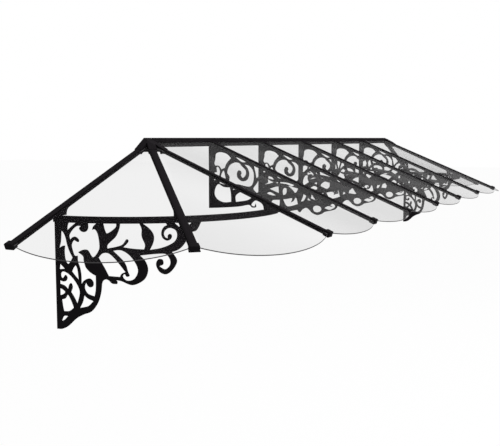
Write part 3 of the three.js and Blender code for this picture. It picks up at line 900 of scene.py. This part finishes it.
@dataclass
class Hub(SubAssembly):
    """A cast hub with three sleeves and the screws that clamp them."""

    sleeve_wall: float = 0.0025
    sleeve_half: float = 0.01955
    web_start: float = 0.044
    web_end: float = 0.081
    web_lift: float = 0.0015
    web_gap: float = 0.0005
    voxel: float = 0.0011
    smooth_passes: int = 5
    smooth_factor: float = 0.5
    screw_run: float = 0.070
    head_radius: float = 0.006
    head_height: float = 0.008
    head_sides: int = 32
    head_edge: float = 0.0007
    shank_radius: float = 0.002
    grip: float = 0.003
    socket_radius: float = 0.0032
    socket_depth: float = 0.0035

    def add_web(self, work: Workpiece, place: Matrix) -> None:
        """Adds the wedge that fills the crotch between two sleeves under a fan panel.

        Args:
            work: the hub so far.
            place: frame whose -Y halves the angle between the sleeves.
        """
        half_step = self.layout.fan_step / 2.0
        crotch = self.sleeve_half / math.sin(half_step)
        spread = (self.web_end - crotch) * math.tan(half_step) + self.sleeve_wall
        wedge = work.outline([(0.0, -self.web_start), (spread, -self.web_end), (-spread, -self.web_end)])
        low = list(wedge.verts)
        high = work.extrude(wedge, self.web_lift)
        for vert in low:
            run = -vert.co.y * math.cos(half_step)
            vert.co.z = self.layout.under_at(run) - self.sleeve_wall + self.web_lift
        for vert in high:
            vert.co.z = self.layout.fan_low(-vert.co.y) - self.web_gap
        bmesh.ops.transform(work.bm, matrix=place, verts=low + high)

    def build(self, side: Side) -> None:
        """Makes a hub and its screws.

        Args:
            side: the end of the canopy.
        """
        node = f"hub_{side.label}"
        lay = self.layout
        work = Workpiece.from_node(node)
        for _, step in lay.fan_panels:
            self.add_web(work, lay.hub_frame(lay.hub_x(side), lay.turn(side, step)))
        rough = work.finish(f"{node}_rough")
        remesh = rough.modifiers.new("casting", "REMESH")
        remesh.mode = "VOXEL"
        remesh.voxel_size = self.voxel
        cast = Workpiece.from_maker(rough)
        for _ in range(self.smooth_passes):
            bmesh.ops.smooth_vert(
                cast.bm, verts=cast.bm.verts, factor=self.smooth_factor,
                use_axis_x=True, use_axis_y=True, use_axis_z=True,
            )
        self.dress(cast, node, "frame", FRAME_COAT)
        for place in Place:
            self.build_screw(side, place)

    def build_screw(self, side: Side, place: Place) -> None:
        """Makes a socket-head screw under one sleeve.

        Args:
            side: the end of the canopy.
            place: the sleeve.
        """
        node = f"hub_screw_{place.label}_{side.label}"
        lay = self.layout
        seat = lay.under_at(self.screw_run + self.head_radius) - self.sleeve_wall - lay.clearance
        tip = lay.under_at(self.screw_run) + self.grip
        work = Workpiece()
        bmesh.ops.create_cone(
            work.bm, cap_ends=True, segments=self.head_sides,
            radius1=self.head_radius, radius2=self.head_radius, depth=self.head_height,
        )
        work.bevel(work.sharp_edges(CREASE_ANGLE), self.head_edge, EDGE_STEPS)
        flat = max(work.bm.faces, key=lambda f: f.calc_center_median().z)
        foot = min(work.bm.faces, key=lambda f: f.calc_center_median().z)
        self.step_in(work, flat, self.shank_radius, tip - seat)
        self.step_in(work, foot, self.socket_radius, self.socket_depth)
        turn = lay.hub_frame(lay.hub_x(side), lay.turn(side, place.value))
        drop = Matrix.Translation((0.0, -self.screw_run, seat - self.head_height / 2.0))
        self.dress(work, node, "screws", SCREW_STEEL, place=turn @ drop)

    @staticmethod
    def step_in(work: Workpiece, face: bmesh.types.BMFace, radius: float, rise: float) -> None:
        """Draws the middle of a round face up.

        Args:
            work: the mesh so far.
            face: the round face.
            radius: radius of the part that is drawn.
            rise: how far it goes.
        """
        reach = max(v.co.to_2d().length for v in face.verts)
        bmesh.ops.inset_region(work.bm, faces=[face], thickness=reach - radius)
        work.extrude(face, rise, lone=False)


@dataclass
class Glazing(SubAssembly):
    """The clear panels, with scalloped lower edges and polished rims, whose opaque grey is a painted glint.
    """

    seat: float = 0.00725
    hub_inset: float = 0.02005
    hub_end: float = 0.0955
    cap_inset: float = 0.02125
    cap_run: float = 0.9203
    edge_run: float = 0.941
    bay_start: float = -0.0027
    fan_start: float = 0.0515
    bay_scallop: float = 0.05
    fan_reach: float = 0.9755
    scallop_steps: int = 48
    handle_share: float = 0.26
    handle_drop: float = 0.75
    rim: float = 0.0005
    rim_angle: float = 40.0
    rim_cosine: float = 0.9

    def long_side(self, start: float, in_hub: bool) -> Points:
        """One long side of a panel, clear of the hub and of the cap.

        Args:
            start: the run at which the panel starts.
            in_hub: whether its rafter sits in a hub.

        Returns:
            The corners as (run, inset from the rafter's axis).
        """
        upper = [(start, self.seat)]
        if in_hub:
            upper = [(start, self.hub_inset), (self.hub_end, self.hub_inset), (self.hub_end, self.seat)]
        lower = [(self.cap_run, self.seat), (self.cap_run, self.cap_inset), (self.edge_run, self.cap_inset)]
        return upper + lower

    def scallop(self, first: Vector, last: Vector, lowest: float) -> Points:
        """The curve of a panel's lower edge, without its ends.

        Args:
            first: the curve's left-hand end in plan.
            last: its right-hand end.
            lowest: how far down its middle lies.

        Returns:
            The points.
        """
        sag = Vector((0.0, (lowest - first.y) / self.handle_drop))
        handles = (first.lerp(last, self.handle_share) + sag, last.lerp(first, self.handle_share) + sag)
        curve = geometry.interpolate_bezier(first, *handles, last, self.scallop_steps + 1)
        return [point.to_tuple() for point in curve[1:-1]]

    def build_panel(
        self,
        node: str,
        sides: tuple[Points, Points],
        lowest: float,
        height: Callable[[float], float],
        place: Matrix,
    ) -> None:
        """Makes one panel.

        Args:
            node: the panel's CAD node.
            sides: its left-hand and right-hand side in plan, from the ridge down.
            lowest: how far down the middle of the scalloped edge lies in plan.
            height: gives the height of its underside at a distance from the hub.
            place: the panel's frame.
        """
        left, right = sides
        scallop = self.scallop(Vector(left[-1]), Vector(right[-1]), lowest)
        fall = height(0.0) - height(1.0)
        work = Workpiece()
        plan = work.outline([*left, *scallop, *reversed(right)])
        work.extrude(plan, self.layout.panel_thickness * math.hypot(1.0, fall))
        for vert in work.bm.verts:
            vert.co.z += height(-vert.co.y)
        work.bm.normal_update()
        work.bevel(work.sharp_edges(self.rim_angle), self.rim, HAIR_STEPS)
        work.bm.normal_update()
        broad = max(work.bm.faces, key=lambda f: f.calc_area()).normal.copy()
        # Rim faces take the grey painted glint of a lit clear edge; the broad faces take the clear sheet
        for face in work.bm.faces:
            face.material_index = int(abs(face.normal.dot(broad)) < self.rim_cosine)
        self.dress(work, node, "glazing", CLEAR_SHEET, SHEET_RIM_GLINT, place=place)

    def build_bay(self, index: int) -> None:
        """Makes a straight panel.

        Args:
            index: its place along the wall, from 0.
        """
        lay = self.layout
        width = lay.bay_width
        left_corners = self.long_side(self.bay_start, index == 0)
        right_corners = self.long_side(self.bay_start, index == lay.bays - 1)
        left = [(inset, -run) for run, inset in left_corners]
        right = [(width - inset, -run) for run, inset in right_corners]
        lowest = -self.edge_run - self.bay_scallop
        place = lay.hub_frame(lay.rafter_x(index), 0.0)
        self.build_panel(f"panel_bay_{index + 1}", (left, right), lowest, lay.panel_low, place)

    def build_fan(self, side: Side, name: Place, step: float) -> None:
        """Makes a fan panel.

        Args:
            side: the end of the canopy.
            name: the rafter that names it.
            step: fan steps from the front to its middle.
        """
        lay = self.layout
        cos = math.cos(lay.fan_step / 2.0)
        sin = math.sin(lay.fan_step / 2.0)
        corners = self.long_side(self.fan_start, True)
        left = [(inset * cos - run * sin, -run * cos - inset * sin) for run, inset in corners]
        right = [(-x, y) for x, y in left]
        place = lay.hub_frame(lay.hub_x(side), lay.turn(side, step))
        node = f"panel_fan_{name.label}_{side.label}"
        self.build_panel(node, (left, right), -self.fan_reach, lay.fan_low, place)

    def build(self) -> None:
        """Makes the straight panels and the panels of both fans."""
        for index in range(self.layout.bays):
            self.build_bay(index)
        for side in Side:
            for name, step in self.layout.fan_panels:
                self.build_fan(side, name, step)


@dataclass
class CurvedBeam(SubAssembly):
    """The curved beam under a fan and the saddles that carry the rafters on it."""

    depth: float = 0.020
    overhang: float = 0.112
    slot: float = 0.0046
    slot_depth: float = 0.012
    rounding: float = 0.0012
    steps: int = 64
    saddle_width: float = 0.030
    saddle_flare: float = 0.022
    wall_reach: float = 0.024
    saddle_edge: float = 0.0014
    saddle_steps: int = 12

    def build(self, side: Side) -> None:
        """Makes the beam and its three saddles.

        Args:
            side: the end of the canopy.
        """
        node = f"curved_beam_{side.label}"
        low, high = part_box(node)
        half = self.depth / 2.0
        slot = self.slot / 2.0
        roof = low.z + self.slot_depth
        section = [
            (slot, roof), (slot, low.z), (half, low.z), (half, high.z),
            (-half, high.z), (-half, low.z), (-slot, low.z), (-slot, roof),
        ]
        work = Workpiece()
        work.round_corners(work.outline(section), self.rounding, EDGE_STEPS)
        foot = Vector((self.layout.hub_x(side), 0.0, 0.0))
        radius = self.layout.beam_radius
        stand = Matrix(((side.value, 0, 0, 0), (0, 0, 1, 0), (0, 1, 0, 0), (0, 0, 0, 1)))
        out = Matrix.Translation(foot + Vector((side.value * radius, 0.0, 0.0)))
        bmesh.ops.transform(work.bm, matrix=out @ stand, verts=work.bm.verts)
        turn = -side.value * (math.pi / 2.0 + self.overhang / radius)
        bmesh.ops.spin(
            work.bm, geom=work.geom, cent=foot, axis=(0.0, 0.0, 1.0), angle=turn, steps=self.steps
        )
        self.dress(work, node, "frame", FRAME_COAT)
        for place in Place:
            self.build_saddle(side, place, high.z + self.layout.clearance)

    def build_saddle(self, side: Side, place: Place, foot: float) -> None:
        """Makes the gusset between the beam and one rafter.

        Args:
            side: the end of the canopy.
            place: the rafter.
            foot: height of the gusset's foot.
        """
        lay = self.layout
        turn = place.value * lay.fan_step
        aside = lay.fan_offset * math.sin(turn)
        centre = math.sqrt(lay.beam_radius**2 - aside**2) - lay.fan_offset * math.cos(turn)
        outer = centre + self.depth / 2.0
        inner = centre - self.depth / 2.0 - (self.wall_reach if place is Place.WALL else 0.0)
        tip = inner - self.saddle_flare

        def head(run: float) -> float:
            """Height of the gusset's upper edge."""
            return lay.under_at(run) - lay.clearance

        knots = (Vector((tip, head(tip))), Vector((inner, head(inner))), Vector((inner, foot)))
        outline = [(outer, foot), (outer, head(outer))]
        for step in range(self.saddle_steps + 1):
            t = step / self.saddle_steps
            point = knots[0].lerp(knots[1], t).lerp(knots[1].lerp(knots[2], t), t)
            outline.append((point.x, point.y))
        work = Workpiece()
        work.extrude(work.outline(outline, -self.saddle_width / 2.0), self.saddle_width)
        work.bevel(work.sharp_edges(CREASE_ANGLE), self.saddle_edge, EDGE_STEPS)
        spot = lay.hub_frame(lay.hub_x(side), lay.turn(side, place.value))
        node = f"saddle_{place.label}_{side.label}"
        self.dress(work, node, "frame", FRAME_COAT, place=spot @ upright(0.0))


@dataclass(frozen=True)
class ScrollPlate:
    """A pierced plate drawn as flat contours.

    A contour is a list of runs. Each run goes on smoothly from the last point of the run before it
    and ends in a sharp corner, and a run of one point is a straight line. A point's handles reach a
    part of the way between its two neighbours.
    """

    thickness: float = 0.004
    edge: float = 0.0006
    edge_steps: int = 1
    resolution: int = 5
    handle_part: float = 6.0
    line_part: float = 3.0

    def knots(self, runs: list[list[Vector]]) -> list[tuple[Vector, Vector, Vector]]:
        """Gives the points of a closed contour their handles.

        Args:
            runs: the contour's runs.

        Returns:
            For each point its left handle, itself and its right handle.
        """
        points = [p for run in runs for p in run]
        left = list(points)
        right = list(points)
        first = 0
        for number, run in enumerate(runs):
            line = [runs[number - 1][-1], *run]
            last = len(line) - 1
            part = self.line_part if last == 1 else self.handle_part
            pulls = [(line[min(k + 1, last)] - line[max(k - 1, 0)]) / part for k in range(last + 1)]
            for k in range(last):
                right[first + k - 1] = line[k] + pulls[k]
                left[first + k] = line[k + 1] - pulls[k + 1]
            first += len(run)
        return list(zip(left, points, right))

    def flat(self, contours: Contours) -> Workpiece:
        """Makes the plate, flat in XY and centred on Z = 0.

        Args:
            contours: the outline and then the openings.

        Returns:
            The plate as a closed mesh.
        """
        curve = bpy.data.curves.new("plate_contours", "CURVE")
        curve.dimensions = "2D"
        curve.fill_mode = "BOTH"
        curve.extrude = self.thickness / 2.0 - self.edge
        curve.bevel_depth = self.edge
        curve.bevel_resolution = self.edge_steps
        curve.offset = -self.edge
        for runs in contours:
            knots = self.knots(runs)
            spline = curve.splines.new("BEZIER")
            spline.bezier_points.add(len(knots) - 1)
            spline.use_cyclic_u = True
            spline.resolution_u = self.resolution
            for point, (left, middle, right) in zip(spline.bezier_points, knots):
                point.handle_left_type = "FREE"
                point.handle_right_type = "FREE"
                point.co = middle.to_3d()
                point.handle_left = left.to_3d()
                point.handle_right = right.to_3d()
        drawn = bpy.data.objects.new("plate_contours", curve)
        bpy.context.scene.collection.objects.link(drawn)
        work = Workpiece.from_maker(drawn)
        bpy.data.curves.remove(curve)
        work.drop_slivers()
        return work


@dataclass
class Scrollwork(SubAssembly):
    """A pierced plate that is drawn in millimetres, each run as two numbers for each of its points."""

    plate: ScrollPlate = ScrollPlate()
    outline: Runs = ()
    openings: tuple[Runs, ...] = ()

    def contours(self, spot: Callable[[float, float], Vector]) -> Contours:
        """Places the drawn contours.

        Args:
            spot: gives a drawn point's place, in metres.

        Returns:
            The outline and then the openings.
        """
        drawn = (self.outline, *self.openings)
        return [[[spot(*point) for point in zip(run[0::2], run[1::2])] for run in runs] for runs in drawn]


@dataclass
class EndBracket(Scrollwork):
    """The scrollwork plate under a curved beam, rolled to the beam's curve.

    It is drawn flat, as (along the beam from the wall, drop below the beam).
    """

    reach: float = 635.0
    drop: float = 458.0
    lift_at_wall: float = 3.4
    tongue: float = 0.0117
    roll_step: float = 0.011
    outline: Runs = (
        (28, 456, 60, 440, 100, 405, 135, 386, 170, 371, 198, 335, 213, 290, 219, 248, 232, 235, 246, 238,
         260, 251, 281, 253),
        (283, 244, 277, 237),
        (300, 241, 345, 257, 392, 235, 409, 197, 400, 160, 377, 134),
        (430, 129, 472, 128, 488, 134),
        (500, 157, 497, 179, 478, 193, 455, 179),
        (471, 172, 469, 153, 450, 151, 441, 173, 455, 203, 483, 214, 511, 195, 529, 158, 508, 122),
        (538, 111, 564, 85, 586, 41),
        (614, 35, 635, 0),
    )
    openings: tuple[Runs, ...] = (
        # Slit beside the leg, with a thorn
        ((46, 49, 55, 68, 62, 96, 72, 122, 87, 149), (77, 165, 64, 177, 52, 160, 48, 130, 51, 101),
         (38, 103, 21, 113), (30, 85, 34, 38)),
        # Corner between the leg and the beam
        ((66, 18, 73, 1), (107, 2), (90, 15, 64, 36)),
        # Main opening: hook, lower curl, leaf, trunk with a curl, and hanging bud
        ((112, 17, 92, 31, 74, 56, 78, 76),
         (86, 66, 98, 61, 110, 65, 119, 75, 116, 83, 107, 81, 95, 77, 84, 96, 88, 118, 97, 140, 111, 140),
         (112, 165, 121, 190, 126, 220, 126, 260),
         (135, 246, 152, 235, 168, 234, 180, 248, 178, 265, 165, 270, 153, 262, 149, 251),
         (142, 263, 143, 281, 156, 298, 184, 307), (190, 275, 191, 221),
         (168, 208, 148, 188, 139, 160, 136, 141, 114, 126),
         (129, 117, 147, 113, 161, 118, 181, 144, 206, 114, 209, 85, 203, 48, 192, 29, 179, 31),
         (184, 16, 199, 2),
         (161, 1), (162, 22, 155, 36, 143, 41, 130, 38, 121, 28, 124, 20, 131, 17)),
        # Small openings down the leg
        ((30, 183, 48, 198), (21, 202), (23, 188, 25, 174)),
        ((109, 198, 114, 241), (98, 225, 83, 208), (90, 193, 101, 180)),
        ((40, 253, 54, 248, 59, 234, 50, 224, 42, 233, 34, 239, 27, 229, 30, 215, 45, 211, 70, 222, 95, 246,
          113, 275, 117, 300, 105, 342), (91, 316, 76, 295), (84, 273, 77, 257, 67, 265, 62, 284),
         (45, 270, 22, 264), (21, 249)),
        ((36, 288, 47, 297, 36, 307, 21, 312), (21, 282)),
        ((47, 324, 60, 308, 75, 330, 88, 360), (65, 376, 38, 379), (33, 358, 29, 330)),
        ((40, 399, 32, 408, 26, 422), (42, 414, 58, 398)),
        ((155, 318, 178, 327), (155, 349, 117, 359), (131, 333, 138, 305)),
        # Fork of the trunk and the openings along the arm
        ((281, 2), (278, 19, 245, 43, 235, 33, 227, 1)),
        ((375, 2), (384, 25, 384, 55, 397, 90, 393, 109), (350, 106, 309, 100),
         (323, 87, 331, 75, 328, 68, 320, 69, 300, 92, 243, 106), (246, 89, 278, 58, 293, 27, 298, 1)),
        # Spiral at the arm's end, beside the broad leaf
        ((483, 2), (488, 10),
         (476, 16, 467, 29, 464, 47, 470, 64, 486, 74, 501, 70, 508, 59, 506, 49, 498, 46),
         (492, 51, 490, 57, 491, 64),
         (481, 60, 475, 45, 482, 30, 500, 22, 523, 32, 530, 53, 522, 75, 499, 91, 462, 104, 417, 111),
         (429, 88, 435, 63, 430, 41, 413, 20, 388, 1)),
        ((541, 3), (540, 19), (519, 1)),
        ((592, 3), (576, 15), (563, 2)),
        # Loops under the arm
        ((221, 128, 246, 126, 275, 150, 316, 203), (300, 210, 293, 223), (247, 220), (230, 187, 205, 145)),
        ((300, 113, 332, 132, 358, 167, 367, 201, 350, 232, 322, 238, 306, 223, 312, 211, 321, 222, 333, 218,
          327, 202), (313, 162, 267, 115)),
    )

    def hang(self, top: float, along: float, drop: float) -> Vector:
        """Places a drawn point under the beam, a little higher towards the wall.

        Args:
            top: height of the beam's underside.
            along: drawn distance along the beam.
            drop: drawn drop below the beam.

        Returns:
            The point as (along the beam, up), in metres.
        """
        lift = self.lift_at_wall * (1.0 - (along / self.reach) ** 2)
        return Vector((along * MM, top - (drop - lift) * MM))

    def build(self, side: Side) -> None:
        """Makes the bracket at one end.

        Args:
            side: the end of the canopy.
        """
        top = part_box(f"curved_beam_{side.label}")[0].z
        contours = self.contours(partial(self.hang, top))
        for along in (self.reach * MM, 0.0):
            contours[0].append([Vector((along, top + self.tongue))])
        contours[0].append([self.hang(top, 0.0, self.drop)])
        work = self.plate.flat(contours)
        for step in range(1, math.ceil(self.reach * MM / self.roll_step)):
            work.cut((step * self.roll_step, 0.0, 0.0), (1.0, 0.0, 0.0))
        work.drop_slivers()
        foot = self.layout.hub_x(side)
        for vert in work.bm.verts:
            angle = vert.co.x / self.layout.beam_radius
            out = self.layout.beam_radius + vert.co.z
            vert.co = (foot + side.value * out * math.cos(angle), -out * math.sin(angle), vert.co.y)
        self.dress(work, f"end_bracket_{side.label}", "scrollwork", SCROLL_COAT)


@dataclass
class InnerBracket(Scrollwork):
    """The flat scrollwork plate under a middle rafter.

    It is drawn as (out from the wall, depth below the ridge at the drawn pitch).
    """

    reach: float = 765.0
    drop: float = 361.4
    drawn_top: float = 24.6
    drawn_slope: float = 0.4142
    slot_depth: float = 0.004
    rail_front: float = 0.0293
    rail_under: float = -0.023
    outline: Runs = (
        (100, 379, 190, 370, 250, 359, 270, 372, 294, 369, 291, 350),
        (283, 366, 265, 357, 290, 334, 325, 346, 360, 376, 430, 391, 537, 374),
        (552, 386, 567, 370),
        (588, 361, 606, 371, 622, 386, 650, 396, 676, 389, 694, 378, 748, 364, 765, 343),
    )
    openings: tuple[Runs, ...] = (
        # Lobe, buds and rounded opening beside the leg
        ((58, 149, 69, 155, 80, 170), (102, 160), (113, 136, 140, 108),
         (115, 86, 75, 76, 46, 85, 41, 115, 35, 138, 42, 150)),
        ((60, 157, 71, 180, 64, 210, 57, 226, 33, 229), (36, 189), (51, 185), (48, 160)),
        ((98, 183, 107, 222), (98, 217, 92, 229, 82, 227, 73, 224), (80, 195, 90, 177)),
        ((86, 236, 97, 229, 113, 244, 105, 253, 67, 245), (72, 231)),
        ((52, 256, 38, 282, 37, 312, 56, 336, 95, 350, 141, 346), (140, 305, 133, 268), (95, 266, 67, 252)),
        # Large spiral
        ((190, 134, 160, 132, 130, 150, 116, 185, 130, 208, 133, 240, 190, 250, 255, 259, 278, 230, 278, 180,
          255, 150, 223, 141),
         (243, 163, 252, 192, 240, 223, 210, 232, 182, 214, 177, 190, 186, 174, 199, 176, 205, 188, 200, 199),
         (212, 213, 229, 200, 231, 174, 204, 148)),
        ((200, 112, 232, 128), (205, 127, 168, 101)),
        ((169, 312, 203, 290, 240, 296, 279, 306), (245, 332, 170, 345)),
        ((200, 270, 244, 283), (228, 291, 190, 278, 152, 279), (150, 267)),
        # Middle scroll
        ((352, 178), (325, 186, 298, 212, 291, 188, 280, 148)),
        ((277, 271, 297, 243, 320, 209, 358, 197, 392, 208, 397, 232, 344, 246),
         (365, 235, 362, 216, 341, 217, 332, 238, 341, 262), (318, 277, 300, 293)),
        ((378, 285, 413, 302), (406, 325), (436, 325), (430, 361, 395, 370, 356, 360), (359, 338),
         (380, 342, 394, 323, 380, 306, 352, 297)),
        ((350, 312, 337, 322), (336, 305, 347, 297)),
        # Leaves towards the tip
        ((425, 254, 475, 263), (474, 287, 455, 299, 420, 285, 375, 268)),
        ((545, 255), (536, 275, 530, 299, 519, 280, 498, 260, 460, 239, 416, 237), (412, 199)),
        ((488, 303, 508, 315, 500, 336), (516, 327, 530, 307, 541, 343), (480, 357, 455, 322)),
        ((588, 295, 575, 323, 558, 329), (570, 300, 573, 275)),
        ((632, 308, 647, 327), (595, 320), (603, 300, 618, 287)),
        ((632, 352, 650, 347, 667, 352, 674, 364, 667, 376, 650, 382, 633, 377, 626, 364),),
        ((710, 348, 736, 350, 722, 342), (740, 335, 749, 350, 720, 366, 690, 358)),
    )

    def hang(self, out: float, depth: float) -> Vector:
        """Places a drawn point under the rafter.

        Args:
            out: drawn distance from the wall.
            depth: drawn depth below the ridge.

        Returns:
            The point as (out from the wall, up), in metres.
        """
        below = depth - self.drawn_top - self.drawn_slope * out
        run = out * MM - self.layout.fan_offset
        return Vector((out * MM, self.layout.under_at(run) - below * MM))

    def build(self, number: int) -> None:
        """Makes one bracket.

        Args:
            number: its place along the wall, from 1.
        """
        lay = self.layout
        contours = self.contours(self.hang)
        tongue = self.slot_depth * lay.plumb - lay.clearance
        rail = self.rail_front + 2.0 * lay.clearance
        leg_top = self.rail_under - lay.clearance
        for out in (self.reach * MM, rail):
            contours[0].append([Vector((out, lay.under_at(out - lay.fan_offset) + tongue))])
        for out in (rail, 0.0):
            contours[0].append([Vector((out, leg_top))])
        contours[0].append([self.hang(0.0, self.drawn_top + self.drop)])
        work = self.plate.flat(contours)
        place = upright(lay.rafter_x(number))
        self.dress(work, f"inner_bracket_{number}", "scrollwork", SCROLL_COAT, place=place)


@dataclass(frozen=True)
class Lamp:
    """A soft square lamp."""

    name: str
    at: Triple
    aim: Triple
    size: float
    power: float

    def build(self) -> None:
        """Hangs the lamp."""
        light = bpy.data.lights.new(self.name, "AREA")
        light.shape = "SQUARE"
        light.size = self.size
        light.energy = self.power
        lamp = bpy.data.objects.new(self.name, light)
        lamp.location = self.at
        lamp.rotation_euler = (Vector(self.aim) - Vector(self.at)).to_track_quat("-Z", "Y").to_euler()
        bpy.context.scene.collection.objects.link(lamp)


@dataclass
class Studio:
    """A pale floor, a white surround, soft lamps and the camera."""

    floor_level: float = -2.3
    floor_half: float = 60.0
    floor_color: Triple = (0.9, 0.9, 0.905)
    floor_roughness: float = 0.9
    floor_specular: float = 0.1
    surround: float = 0.45
    glow: float = 0.96
    eye: Triple = (-5.009, -2.2625, 0.022)
    look: Triple = (0.8799, 0.4633, -0.1059)
    lens: float = 57.475
    sensor: float = 36.0
    lamps: tuple[Lamp, ...] = (
        Lamp("key", at=(-0.8, -5.6, 4.6), aim=(0.0, -0.4, -0.3), size=4.0, power=330.0),
        Lamp("fill", at=(4.5, -4.0, 3.2), aim=(0.4, -0.4, -0.3), size=4.0, power=120.0),
        Lamp("top", at=(0.0, -0.5, 5.0), aim=(0.0, -0.5, 0.0), size=5.0, power=130.0),
    )

    @staticmethod
    def seen_directly(hand: NodeTree) -> bpy.types.NodeSocket:
        """Where a ray comes from the camera, a mirror or a clear sheet.

        Args:
            hand: the tree to work in.

        Returns:
            A socket that is 1 for such a ray.
        """
        path = hand.add("ShaderNodeLightPath").outputs
        direct = hand.math("MAXIMUM", path["Is Camera Ray"], path["Is Glossy Ray"])
        return hand.math("MAXIMUM", direct, path["Is Transmission Ray"])

    def build_world(self) -> None:
        """Makes the surround: white where it is seen, plainer where it lights the canopy."""
        world = bpy.data.worlds.new("surround")
        world.use_nodes = True
        hand = NodeTree(world.node_tree)
        gain = hand.math("MULTIPLY", self.seen_directly(hand), 1.0 - self.surround)
        strength = hand.math("ADD", gain, self.surround)
        hand.feed(world.node_tree.nodes["Background"], Color=WHITE, Strength=strength)
        bpy.context.scene.world = world

    def floor_material(self) -> bpy.types.Material:
        """The floor's finish: it glows where it is seen, keeps the canopy's shadow and is clear from below.

        Returns:
            The material.
        """
        material = bpy.data.materials.new("studio_floor")
        material.use_nodes = True
        hand = NodeTree(material.node_tree)
        plain = hand.feed(
            material.node_tree.nodes["Principled BSDF"],
            Base_Color=(*self.floor_color, 1.0),
            Roughness=self.floor_roughness,
            Specular_IOR_Level=self.floor_specular,
        )
        glow = hand.feed(hand.add("ShaderNodeEmission"), Color=WHITE, Strength=1.0)
        clear = hand.add("ShaderNodeBsdfTransparent")
        share = hand.math("MULTIPLY", self.seen_directly(hand), self.glow)
        upper = hand.mix(share, plain.outputs[0], glow.outputs[0])
        below = hand.add("ShaderNodeNewGeometry").outputs["Backfacing"]
        surface = hand.mix(below, upper, clear.outputs[0])
        hand.feed(material.node_tree.nodes["Material Output"], Surface=surface)
        return material

    def build_floor(self) -> None:
        """Lays the floor."""
        half = self.floor_half
        plan = ((-half, -half), (half, -half), (half, half), (-half, half))
        mesh = bpy.data.meshes.new("floor")
        mesh.from_pydata([(x, y, self.floor_level) for x, y in plan], [], [(0, 1, 2, 3)])
        mesh.materials.append(self.floor_material())
        floor = bpy.data.objects.new("floor", mesh)
        bpy.context.scene.collection.objects.link(floor)

    def build_camera(self) -> None:
        """Sets the camera at the photograph's viewing angle."""
        data = bpy.data.cameras.new("camera")
        data.sensor_width = self.sensor
        data.lens = self.lens
        camera = bpy.data.objects.new("camera", data)
        camera.location = self.eye
        camera.rotation_euler = Vector(self.look).to_track_quat("-Z", "Y").to_euler()
        bpy.context.scene.collection.objects.link(camera)
        bpy.context.scene.camera = camera

    def build(self) -> None:
        """Makes the whole studio."""
        bpy.context.scene.view_settings.view_transform = "Standard"
        self.build_camera()
        self.build_world()
        self.build_floor()
        for lamp in self.lamps:
            lamp.build()


def main() -> None:
    """Builds the studio and every sub-assembly of the canopy."""
    logging.basicConfig(level=logging.INFO, format="%(name)s: %(message)s")
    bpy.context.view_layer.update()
    layout = Layout()
    Studio().build()
    Ridge(layout).build()
    Rafters(layout).build()
    Glazing(layout).build()
    for side in Side:
        Hub(layout).build(side)
        CurvedBeam(layout).build(side)
        EndBracket(layout).build(side)
    for number in range(1, layout.bays):
        InnerBracket(layout).build(number)


if __name__ == "__main__":
    main()
